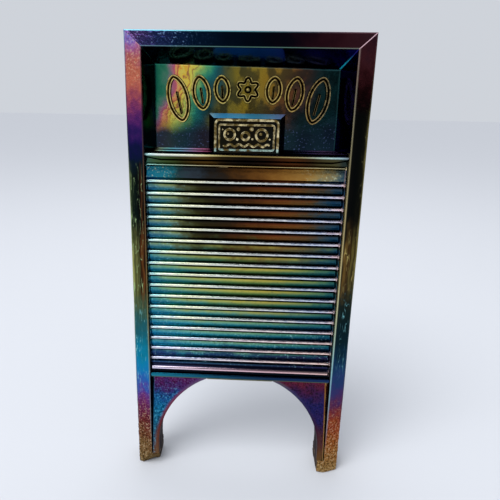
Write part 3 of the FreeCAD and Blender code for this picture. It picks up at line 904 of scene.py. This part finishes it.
def top_rail_paint():
    paint = Paint("top_rail_paint", roughness=0.14)
    waver = paint.noise(2.5, 3.0, 4.0)
    place = paint.x + (waver - 0.5) * 8.0
    # colour across the rail: iridescence with painted reflections
    colour = place.ramp([(-25.7, 62, 42, 70), (-22, 40, 36, 66), (-17, 16, 30, 54), (-10, 5, 20, 32),
        (0, 4, 13, 19), (8, 10, 11, 17), (14, 34, 15, 21), (20, 48, 23, 26), (25.7, 50, 30, 34)])
    # painted glints on the stippled left part
    speck = paint.noise(0.4, 3.0, 5.0)
    zone = paint.x.span(-4, -16)
    light = speck.span(0.58, 0.7) * zone
    colour = paint.highlight(light * 0.5, colour, linear(60, 76, 92))
    # painted highlights along the top edge, the ridge and the right-hand mitre
    edge_tint = paint.x.ramp([(-25.7, 45, 90, 100), (-10, 55, 88, 92), (6, 24, 38, 42), (25, 36, 24, 28)])
    top_edge = paint.z.near(TOP - 0.14, 0.24)
    colour = paint.highlight(top_edge * 0.8, colour, edge_tint)
    ridge = paint.z.near(INNER_Z + 0.16, 0.2)
    colour = paint.highlight(ridge * 0.6, colour, linear(42, 60, 52))
    at_right = mitre_line(paint) * paint.x.span(0, 1)
    colour = paint.highlight(at_right, colour, linear(100, 84, 88))
    # painted shade on the inner wall under the ridge
    wall = paint.z.span(INNER_Z + 0.08, INNER_Z + 0.02)
    colour = paint.mix(wall, colour, linear(4, 6, 8))
    paint.bump(paint.noise(0.4, 3.0))
    return paint.finish(colour)


# colours across the crest floor: iridescence with painted reflections
CREST_SWEEP = [(-22, 4, 22, 22), (-19.8, 8, 60, 42), (-18.6, 70, 36, 60), (-17.4, 100, 50, 42),
    (-16, 100, 76, 20), (-14.2, 98, 96, 34), (-12.4, 28, 76, 48), (-10.6, 8, 40, 48), (-8, 12, 26, 22),
    (-5, 50, 44, 13), (0, 66, 56, 15), (5, 58, 40, 11), (9.5, 36, 15, 12), (12.5, 8, 15, 16),
    (16, 3, 18, 18), (20, 2, 9, 14)]


def interference(paint, colour, lean):
    """Fine diagonal rainbow lines near the crest's top left, iridescence in a painted reflection of a light at
    the left.
    """
    wobble = paint.noise(2.0, 2.0, 15.0) - 0.5
    wave = paint.math("SINE", lean * 4.6 + wobble * 9.0)
    zone = lean.near(-15.5, 4.0) * paint.z.span(85, 90)
    light = wave.span(0.1, 0.9) * zone
    dark = wave.span(-0.2, -0.9) * zone
    colour = paint.mix(light * 0.7, colour, linear(98, 92, 42))
    return paint.mix(dark * 0.7, colour, linear(62, 20, 32))


def crest_paint():
    """Rainbow bands sweeping down from the top left, olive in the middle, dark teal at the right: iridescence
    with painted reflections, the rainbow bands a painted reflection of a light at the left.
    """
    paint = Paint("crest_paint", roughness=0.1)
    waver = paint.noise(4.0, 4.0, 6.0, stretch=(1, 1, 1.6))
    lean = paint.x + (paint.z - 90) * -0.34
    place = lean + (waver - 0.5) * 8.0
    colour = interference(paint, place.ramp(CREST_SWEEP), place)
    patch = paint.noise(2.6, 3.0, 18.0, stretch=(1, 1, 1.4)).span(0.46, 0.6)
    patch = patch * paint.x.span(-12, -6)
    colour = paint.mix(patch * 0.72, colour, linear(3, 6, 7))
    low = (paint.z + waver * 4.0).span(91.0, 86.0)
    low_tint = place.ramp([(-20, 6, 14, 20), (-12, 4, 12, 20), (-7, 16, 6, 12), (0, 6, 6, 6), (9, 5, 9, 12),
        (20, 3, 5, 14)])
    colour = paint.mix(low * 0.98, colour, low_tint)
    # painted glints: pale flecks on the lower part
    speck = paint.noise(0.4, 4.0, 8.0)
    glint = speck.span(0.6, 0.7) * low
    colour = paint.mix(glint * 0.6, colour, linear(40, 46, 66))
    wall = paint.y.span(FLOOR_Y - 0.08, FLOOR_Y - 0.4)
    wall_tint = paint.x.ramp([(-22, 6, 24, 24), (-20, 8, 26, 28), (-16, 12, 30, 34), (10, 16, 22, 42),
        (19, 14, 14, 50), (22, 12, 10, 44)])
    colour = paint.mix(wall, colour, wall_tint)
    # painted highlights along the foot of the walls and the right-hand top corner crease
    foot = paint.y.near(FLOOR_Y - 0.12, 0.16)
    colour = paint.highlight(foot * 0.45, colour, linear(20, 44, 44))
    share = (INNER_X - paint.x) / (INNER_X - CREST_FLOOR_RIGHT)
    rise = (INNER_Z - paint.z) / (INNER_Z - CREST_FLOOR_TOP)
    crease = (share - rise).near(0.0, 0.13)
    spark = crease * (wall * share.span(0.2, 0.9))
    colour = paint.highlight(spark, colour, linear(10, 86, 90))
    paint.bump(paint.noise(0.5, 4.0), 0.014, 0.6)
    return paint.finish(colour)


def relief_paint():
    """Painted highlights on two gold shoulders, painted shade in the groove between them and on the sides."""
    paint = Paint("relief_paint", roughness=0.14)
    proud = FLOOR_Y - paint.y
    place = paint.x + (paint.noise(1.2, 3.0) - 0.5) * 14.0
    shoulder = place.ramp([(-19, 95, 84, 52), (-8, 84, 78, 44), (6, 84, 72, 40), (14, 66, 54, 34),
        (19, 52, 52, 40)])
    groove = place.ramp([(-19, 30, 20, 10), (-10, 10, 14, 10), (0, 14, 11, 5), (12, 10, 6, 4),
        (19, 5, 7, 6)])
    crown = proud.span(0.68, 0.8)
    broken = paint.noise(1.0, 3.0, 21.0).span(0.34, 0.52)
    bright = crown * (broken * 0.55 + 0.35)
    # painted shade: near black on the sides, dark brown in the groove; painted highlights on the shoulders
    colour = paint.mix(proud.span(0.3, 0.6), DARK, groove)
    colour = paint.highlight(bright, colour, shoulder)
    paint.bump(paint.noise(0.4, 3.0))
    return paint.finish(colour)


def badge_paint():
    paint = Paint("badge_paint", roughness=0.1)
    colour = (paint.x + paint.noise(1.5, 3.0)
        * 3.0).ramp([(-8, 5, 12, 10), (-4, 10, 9, 4), (4, 10, 7, 4), (9, 5, 9, 8)])
    tint = (paint.x + paint.noise(0.8, 3.0)
        * 2.0).ramp([(-8.3, 100, 100, 100), (-6.8, 56, 84, 94), (-5, 20, 60, 88), (-1, 26, 72, 92),
        (3, 18, 56, 70), (6, 40, 66, 82), (9.5, 48, 50, 74)])
    # painted highlight on the up-facing top bevel
    top = paint.facing_z.span(0.3, 0.6)
    colour = paint.highlight(top * 0.85, colour, tint)
    # painted reflections on the side bevels, chosen by which way they face
    side = abs(paint.facing_x).span(0.3, 0.6)
    side_tint = paint.x.ramp([(-8.3, 28, 12, 12), (-7.6, 6, 10, 14), (7.6, 5, 13, 14), (8.3, 20, 12, 26)])
    colour = paint.mix(side, colour, side_tint)
    paint.bump(paint.noise(0.4, 3.0))
    return paint.finish(colour)


def badge_relief_paint():
    paint = Paint("badge_relief_paint", roughness=0.12)
    proud = BADGE_Y - paint.y
    patch = paint.noise(0.9, 3.0, 2.0)
    bright = paint.mix(patch.span(0.4, 0.65), linear(50, 42, 22), linear(100, 94, 74))
    low = paint.z.span(81.7, 81.5) * patch.span(0.35, 0.55)
    bright = paint.mix(low * 0.7, bright, linear(74, 94, 94))
    # painted highlights on the crowns, painted shade on the sides
    crown = proud.span(0.14, 0.26)
    colour = paint.highlight(crown * 0.8, DARK, bright)
    paint.bump(paint.noise(0.3, 3.0), 0.01, 0.5)
    return paint.finish(colour)


def ledge_paint():
    """A painted highlight along the nose, coloured painted highlights on the sill, and painted shade with
    painted gold reflections in the hollow.
    """
    paint = Paint("ledge_paint", roughness=0.14)
    # tints of the painted highlight along the nose
    nose = paint.x.ramp([(-22, 60, 90, 90), (-19, 100, 100, 100), (-12, 94, 98, 86), (-8, 96, 90, 60),
        (-4, 62, 54, 30), (4, 60, 50, 28), (12, 72, 66, 40), (16, 80, 90, 84), (20, 80, 98, 100),
        (22, 50, 50, 60)])
    # painted shade with painted gold reflections in the hollow under the nose
    under = (paint.x + paint.noise(0.9, stretch=(3, 1, 1))
        * 2.0).ramp([(-22, 8, 34, 36), (-18, 30, 38, 18), (-13, 10, 10, 5), (-8, 34, 24, 8), (-4, 2, 2, 2),
        (6, 2, 2, 2), (11, 34, 18, 6), (15, 12, 7, 4), (20, 34, 32, 18), (22, 8, 16, 18)])
    left = paint.x.span(-5, -11)
    reach = left * 0.2 + 0.22 + paint.x.span(12, 18) * 0.12
    line = paint.z.near(80.03, reach)
    colour = paint.highlight(line * 0.9, under, nose)
    paint.bump(paint.noise(0.3, 3.0))
    return paint.finish(sill_paint(paint, colour))


def sill_paint(paint, colour):
    tint = (paint.x + paint.noise(0.8)
        * 3.0).ramp([(-21, 40, 24, 50), (-18.5, 100, 94, 50), (-16, 40, 96, 100), (-12, 62, 80, 100),
        (-8.5, 100, 52, 72), (-6.5, 30, 10, 12), (7, 40, 12, 16), (11, 44, 50, 50), (15, 36, 26, 70),
        (18, 90, 70, 100), (21, 30, 20, 50)])
    on_sill = paint.z.span(80.2, 80.35)
    colour = paint.mix(on_sill, colour, linear(7, 8, 14))
    at_left = paint.x.span(-20.5, -19) * paint.x.span(-6.5, -8.5)
    at_right = paint.x.span(8, 14) * 0.35
    # painted highlights: coloured lines on the sill at the left and, fainter, at the right
    lines = paint.math("MAXIMUM", paint.y.near(FLOOR_Y - 0.6, 1.3), paint.y.near(FRONT + 2.4, 0.9))
    share = on_sill * (lines * (at_left + at_right))
    colour = paint.highlight(share, colour, tint)
    return colour


BACK_SWEEP = [(24, 16, 14, 36), (34, 6, 36, 48), (46, 24, 44, 34), (58, 44, 40, 18), (68, 30, 16, 10),
    (79, 8, 12, 12)]

# land colours by height zone, iridescence with painted reflections: just under a rib, then just above the next
# one
UPPER_LANDS = ([(-22, 10, 40, 44), (-18, 62, 68, 42), (-14.5, 34, 32, 16), (-11, 7, 8, 6), (-3, 13, 10, 6),
    (5, 34, 13, 6), (11, 38, 18, 8), (16, 28, 20, 12), (19.5, 16, 24, 28), (22, 5, 14, 22)],
    [(-22, 4, 34, 56), (-17, 22, 60, 66), (-13.5, 42, 42, 20), (-9, 15, 14, 8), (-2, 26, 17, 8),
    (6, 52, 31, 12), (12, 50, 34, 16), (16, 34, 34, 24), (19.5, 12, 36, 48), (22, 4, 20, 34)])
MIDDLE_LANDS = ([(-22, 10, 52, 58), (-17, 52, 70, 42), (-10, 72, 72, 34), (-2, 80, 75, 34), (5, 78, 68, 28),
    (11, 66, 62, 22), (17, 36, 54, 32), (22, 6, 32, 34)],
    [(-22, 3, 40, 56), (-15, 8, 52, 58), (-7, 24, 52, 36), (2, 38, 50, 22), (9, 16, 46, 36),
    (16, 5, 38, 40), (22, 3, 24, 32)])
LOWER_LANDS = ([(-22, 12, 52, 58), (-14, 50, 72, 58), (-4, 52, 68, 44), (6, 40, 62, 44), (15, 22, 50, 42),
    (22, 6, 30, 36)],
    [(-22, 4, 44, 66), (-12, 10, 58, 66), (0, 10, 48, 56), (12, 6, 36, 46), (22, 3, 22, 34)])
FOOT_LANDS = ([(-22, 16, 30, 42), (-8, 20, 34, 38), (6, 16, 24, 30), (22, 12, 12, 24)],
    [(-22, 14, 22, 46), (-6, 10, 26, 40), (8, 12, 14, 30), (22, 14, 10, 26)])


def land_paint(paint, place, sway, phase):
    """Each land goes from one colour under its rib to another above the next: iridescence with the room's
    reflections painted in.
    """
    share = phase.span(0.3, 0.72)
    colours = [paint.mix(share, place.ramp(under), place.ramp(above)) for under,
        above in (UPPER_LANDS, MIDDLE_LANDS, LOWER_LANDS, FOOT_LANDS)]
    colour = colours[0]
    for deeper, (start, end) in zip(colours[1:], ((62, 53), (47, 39), (35, 31))):
        colour = paint.mix(sway.span(start, end), colour, deeper)
    # painted shade: a black line under each rib, fading out towards the left end
    under_rib = phase.span(0.4, 0.28) * place.span(-18, -11)
    colour = paint.mix(under_rib * 0.95, colour, linear(2, 2, 2))
    above_rib = phase.near(0.845, 0.05)
    return paint.mix(above_rib * 0.7, colour, linear(3, 6, 20))


def plate_paint():
    """Iridescent lands with painted reflections, between painted highlights on the rib crests, under a smooth
    amber band and a thin bead.
    """
    paint = Paint("plate_paint", roughness=0.16)
    waver = paint.noise(3.5, 3.0, 2.0, stretch=(1, 1, 0.6))
    fine = paint.noise(0.5, 4.0, 5.0, stretch=(1.6, 1, 1))
    wander = waver - 0.5 + (fine - 0.5) * 0.5
    place = paint.x + wander * 9.0
    sway = paint.z + wander * 8.0
    phase = paint.math("FRACT", (FIRST_RIB - paint.z) / RIB_PITCH)
    phase = phase + (fine - 0.5) * 0.06
    colour = land_paint(paint, place, sway, phase)
    # painted glints: light specks on the left and lower parts
    speck = paint.noise(0.36, 2.0, 9.0)
    left_or_low = paint.math("MAXIMUM", paint.x.span(-10, -19), paint.z.span(44, 34))
    light = speck.span(0.6, 0.74) * left_or_low
    colour = paint.mix(light * 0.6, colour, linear(66, 90, 92))
    dark = speck.span(0.42, 0.28) * paint.z.span(70, 30)
    colour = paint.mix(dark * 0.6, colour, linear(4, 10, 20))
    # painted highlights on the rib crests, whiter along their middles
    from_crest = paint.math("PINGPONG", phase, 0.5) * RIB_PITCH
    crest = from_crest.span(0.37, 0.23)
    crest_tint = (paint.x + wander
        * 9.0).ramp([(-22, 62, 90, 95), (-18, 92, 98, 86), (-11, 100, 98, 82), (-6, 86, 90, 88),
        (2, 82, 82, 80), (10, 78, 80, 84), (16, 70, 78, 92), (20, 82, 80, 88), (22, 100, 84, 88)])
    low_crest = paint.mix(paint.x.span(-18, 18), linear(86, 86, 96), linear(98, 82, 78))
    crest_tint = paint.mix(sway.span(44, 33), crest_tint, low_crest)
    glitter = paint.noise(0.55, 3.0, 31.0, stretch=(2.2, 1, 1)).span(0.36, 0.6)
    colour = paint.mix(crest, colour, crest_tint)
    on_ribs = paint.z.span(74.8, 74.6) * paint.z.span(28.9, 29.3)
    bright = from_crest.span(0.26, 0.1) * on_ribs
    bright = bright * (glitter * 0.6 + 0.1)
    white = paint.mix(0.45, crest_tint, linear(100, 100, 97))
    colour = paint.highlight(bright, colour, white)
    colour = band_paint(paint, place, colour)
    colour = foot_of_plate_paint(paint, colour)
    # painted highlight: a pale line where the ribs meet the right-hand wall
    hook = paint.x.near(INNER_X - 0.42, 0.2)
    colour = paint.mix(hook * 0.5, colour, linear(66, 54, 50))
    end = paint.x.span(INNER_X - 0.22, INNER_X - 0.1)
    colour = paint.mix(end, colour, linear(10, 8, 12))
    at_back = paint.y.span(PANEL_BACK - 0.5, PANEL_BACK - 0.2)
    colour = paint.mix(at_back, colour, sway.ramp(BACK_SWEEP))
    paint.bump(paint.noise(0.3, 3.0, stretch=(2, 1, 1)))
    return paint.finish(colour)


def band_paint(paint, place, colour):
    """The smooth band above the ribs, speckled teal at the left, and a painted highlight on the bead above it.
    """
    band = place.ramp([(-22, 5, 34, 46), (-18, 14, 52, 58), (-15.5, 10, 22, 20), (-12, 22, 26, 30),
        (-8, 10, 10, 8), (-2, 20, 13, 6), (5, 46, 28, 10), (12, 64, 46, 20), (17, 66, 56, 32),
        (19.5, 34, 44, 42), (22, 5, 20, 32)])
    speck = paint.noise(0.3, 3.0, 12.0)
    at_ends = paint.math("MAXIMUM", paint.x.span(-14, -18), paint.x.span(10, 18))
    light = speck.span(0.6, 0.7) * at_ends
    band = paint.mix(light * 0.7, band, linear(85, 90, 75))
    colour = paint.mix(paint.z.span(74.85, 74.95), colour, band)
    # painted highlight on the bead
    bead_tint = paint.x.ramp([(-22, 55, 90, 88), (-14, 90, 92, 76), (-4, 78, 62, 36), (6, 66, 56, 32),
        (16, 90, 84, 62), (22, 85, 80, 62)])
    return paint.mix(paint.z.span(77.45, 77.55), colour, bead_tint)


def foot_of_plate_paint(paint, colour):
    """A painted highlight on the stouter last rib, and painted shade in the groove under it."""
    colour = paint.mix(paint.z.span(29.4, 29.2), colour, linear(10, 12, 22))
    tint = paint.x.ramp([(-22, 90, 90, 100), (-12, 100, 86, 92), (8, 88, 70, 74), (22, 100, 84, 80)])
    return paint.mix(paint.z.near(LAST_RIB, 0.62).span(0.1, 0.5), colour, tint)


def rail_paint():
    paint = Paint("bottom_rail_paint", roughness=0.18)
    place = paint.x + (paint.noise(2.0, 3.0) - 0.5) * 10.0
    colour = place.ramp([(-22, 10, 50, 60), (-10, 8, 34, 44), (2, 10, 20, 30), (12, 8, 18, 32),
        (22, 10, 20, 38)])
    # painted shade in the hollow above the front band
    colour = paint.mix(paint.z.span(RAIL_BOTTOM + 1.0, RAIL_BOTTOM + 1.2), colour, linear(2, 5, 9))
    # painted highlight along the lower edge
    line = paint.z.near(RAIL_BOTTOM + 0.1, 0.22)
    colour = paint.mix(line * 0.7, colour, linear(42, 46, 28))
    colour = paint.mix(paint.z.span(RAIL_BOTTOM - 0.02, RAIL_BOTTOM - 0.08), colour, linear(48, 42, 28))
    paint.bump(paint.noise(0.2, 3.0))
    return paint.finish(colour)


def spandrel_paint(name, stops, rim_stops, flank_stops, flank_width, speck_tint, shift):
    """Colour by height on the hollow face, a rounded rim round the arch with a painted highlight higher up,
    painted lines on the flank by the stile (shade on the left, a highlight on the right), and painted shade on
    the arch's inner face.
    """
    paint = Paint(name, roughness=0.24)
    waver = paint.noise(2.4, 3.0, shift) - 0.5
    colour = (paint.z + waver * 7.0).ramp(stops)
    speck = paint.noise(0.42, 3.0, shift)
    colour = paint.mix(speck.span(0.5, 0.38) * 0.65, colour, DARK)
    below = paint.z.span(19, 24) * -0.35 + 0.5
    colour = paint.mix(speck.span(0.56, 0.68) * below, colour, speck_tint)
    across = abs(paint.x)
    rise = paint.math("MAXIMUM", paint.z - ARCH_CENTRE_Z, 0.0)
    reach = paint.math("SQRT", paint.math("POWER", across, 2.0) + paint.math("POWER", rise, 2.0))
    # the rim: bronze and maroon low down, with a pink painted highlight higher up
    rim = (paint.z + waver * 5.0).ramp(rim_stops)
    colour = paint.mix(reach.span(LEG_INNER + 1.3, LEG_INNER + 0.35), colour, rim)
    # the flank by the stile: painted shade, with a gold painted highlight on the right
    share = (paint.z - TOE_TOP) / (RAIL_BOTTOM - TOE_TOP)
    width = share * flank_width + 0.15
    outer = (INNER_X - across) / width
    flank = outer.ramp(flank_stops)
    colour = paint.mix(outer.span(1.15, 1.0), colour, flank)
    # painted shade on the arch's inner face
    inside = paint.y.span(FRONT + 1.2, FRONT + 1.9) * reach.span(LEG_INNER + 0.12, LEG_INNER + 0.04)
    colour = paint.deaden(inside, colour, linear(15, 11, 12))
    paint.bump(paint.noise(0.3, 3.0), 0.025, 0.9)
    return paint.finish(colour)


def left_spandrel_paint():
    # the last colour list is the flank by the stile: a dark line of painted shade
    return spandrel_paint("left_spandrel_paint",
        [(3, 46, 34, 26), (7, 34, 26, 30), (11, 12, 38, 48), (16, 6, 46, 62), (20, 8, 32, 56),
        (22.5, 24, 14, 40), (26, 42, 12, 32)],
        [(3, 46, 34, 22), (9, 44, 24, 18), (14, 38, 13, 18), (19, 56, 26, 34), (22, 42, 24, 42),
        (25.7, 40, 36, 48)], [(0, 2, 3, 5), (0.7, 3, 4, 6), (1, 14, 40, 52)], 0.55, linear(42, 80, 88), 1.0)


def right_spandrel_paint():
    # the last colour list is the flank by the stile: a gold painted highlight between darker edges
    return spandrel_paint("right_spandrel_paint",
        [(3, 46, 36, 18), (7, 40, 22, 14), (11, 24, 12, 20), (16, 12, 12, 36), (20, 12, 13, 34),
        (23, 26, 10, 24), (26, 42, 14, 20)],
        [(3, 46, 34, 18), (8, 34, 16, 14), (15, 16, 10, 26), (22, 22, 22, 42), (25.7, 44, 40, 40)],
        [(0, 4, 5, 8), (0.25, 20, 14, 10), (0.45, 56, 44, 24), (0.62, 90, 78, 50), (0.75, 60, 42, 20),
        (1, 46, 24, 14)], 0.75, linear(30, 20, 34), 2.0)


# ---- build ----
def left_grain(z):
    return 0.13 * smoothstep(26, 9, z) + 0.03 * smoothstep(92, 98, z)


def right_grain(z):
    return 0.12 * smoothstep(24, 8, z)


def left_streaks(z):
    return 0.02 + 0.08 * smoothstep(36, 46, z) * smoothstep(86, 78, z)


def right_streaks(z):
    return 0.02 + 0.07 * smoothstep(28, 40, z) * smoothstep(92, 84, z)


def build_frame():
    left = mirrored(make_stile(left_grain, left_streaks, 11, True))
    right = make_stile(right_grain, right_streaks, 15, False)
    add_piece("left_stile", left, left_stile_paint())
    add_piece("right_stile", right, right_stile_paint())
    add_piece("top_rail", make_top_rail(19), top_rail_paint())
    add_piece("bottom_rail", make_bottom_rail(), rail_paint())


def build_crest():
    relief, badge_relief = relief_paint(), badge_relief_paint()
    add_piece("crest_panel", make_crest(), crest_paint())
    add_piece("crest_leaves", make_leaves(), relief)
    add_piece("crest_blossom", make_blossom(), relief)
    add_piece("badge_block", make_badge(), badge_paint())
    add_piece("badge_border", make_badge_border(), badge_relief)
    add_piece("badge_bubbles", make_bubbles(), badge_relief)


def build_middle_and_legs():
    add_piece("soap_ledge", make_ledge(), ledge_paint())
    add_piece("rubbing_plate", make_plate(), plate_paint(), sharp=60)
    spandrel = make_spandrel(61)
    add_piece("left_spandrel", mirrored(spandrel), left_spandrel_paint())
    add_piece("right_spandrel", spandrel, right_spandrel_paint())


def add_floor():
    """A pale floor, plain to the horizon."""
    size = 3.0
    mesh = bpy.data.meshes.new("floor")
    corners = [(-size, -size, 0), (size, -size, 0), (size, size, 0), (-size, size, 0)]
    mesh.from_pydata(corners, [], [(0, 1, 2, 3)])
    floor = bpy.data.objects.new("floor", mesh)
    bpy.context.scene.collection.objects.link(floor)
    material = bpy.data.materials.new("floor_paper")
    material.use_nodes = True
    surface = material.node_tree.nodes["Principled BSDF"]
    surface.inputs["Base Color"].default_value = (0.62, 0.64, 0.68, 1)
    surface.inputs["Roughness"].default_value = 0.9
    surface.inputs["Specular IOR Level"].default_value = 0.1
    mesh.materials.append(material)


def aimed(holder, place, target):
    holder.location = place
    holder.rotation_euler = (Vector(target) - Vector(place)).to_track_quat("-Z", "Y").to_euler()
    bpy.context.scene.collection.objects.link(holder)


def add_softbox(name, place, size, brightness):
    """A rectangular light aimed at the middle of the object; brightness is its radiance."""
    light = bpy.data.lights.new(name, "AREA")
    light.shape = "RECTANGLE"
    light.size, light.size_y = size
    light.energy = brightness * math.pi * size[0] * size[1]
    aimed(bpy.data.objects.new(name, light), place, (0, 0, cad_high.z / 2))


def add_studio():
    """A broad soft key that the gloss doesn't mirror, and softboxes that it does."""
    key = bpy.data.lights.new("key", "SUN")
    key.energy = 1.9
    key.angle = math.radians(35)
    holder = bpy.data.objects.new("key", key)
    holder.visible_glossy = False
    aimed(holder, (-0.5, -0.7, 1.2), (0, 0, 0))
    add_softbox("overhead", (-0.08, 0.04, 0.5), (0.55, 0.22), 2.6)
    add_softbox("front_fill", (-0.25, -0.8, 0.32), (0.9, 0.5), 0.45)
    add_softbox("left_side", (-0.60, -0.38, 0.16), (0.5, 0.28), 0.6)
    world = bpy.data.worlds.new("studio")
    world.use_nodes = True
    tree = world.node_tree
    path = tree.nodes.new("ShaderNodeLightPath")
    room = tree.nodes["Background"]
    room.inputs["Color"].default_value = (0.48, 0.50, 0.54, 1)
    shader = room.outputs[0]
    seen_as = (("Is Glossy Ray", (0.11, 0.12, 0.14, 1)), ("Is Camera Ray", (0.62, 0.65, 0.70, 1)))
    for is_ray, colour in seen_as:
        seen = tree.nodes.new("ShaderNodeBackground")
        seen.inputs["Color"].default_value = colour
        mix = tree.nodes.new("ShaderNodeMixShader")
        tree.links.new(path.outputs[is_ray], mix.inputs[0])
        tree.links.new(shader, mix.inputs[1])
        tree.links.new(seen.outputs[0], mix.inputs[2])
        shader = mix.outputs[0]
    tree.links.new(shader, tree.nodes["World Output"].inputs[0])
    bpy.context.scene.world = world


def add_camera():
    """Close up, from a little above the crest, looking down 17 degrees."""
    data = bpy.data.cameras.new("camera")
    data.lens = 36.0
    data.sensor_width = 36.0
    data.shift_x = 0.05
    data.clip_start, data.clip_end = 0.005, 20.0
    camera = bpy.data.objects.new("camera", data)
    camera.location = (0.00035, -0.10782 + cad_low.y, 0.0913)
    camera.rotation_euler = Euler([math.radians(a) for a in (73.41, -1.0, 2.66)], "XYZ")
    bpy.context.scene.collection.objects.link(camera)
    bpy.context.scene.camera = camera


bpy.context.scene.view_settings.view_transform = "Standard"
add_camera()
build_frame()
build_crest()
build_middle_and_legs()
add_floor()
add_studio()
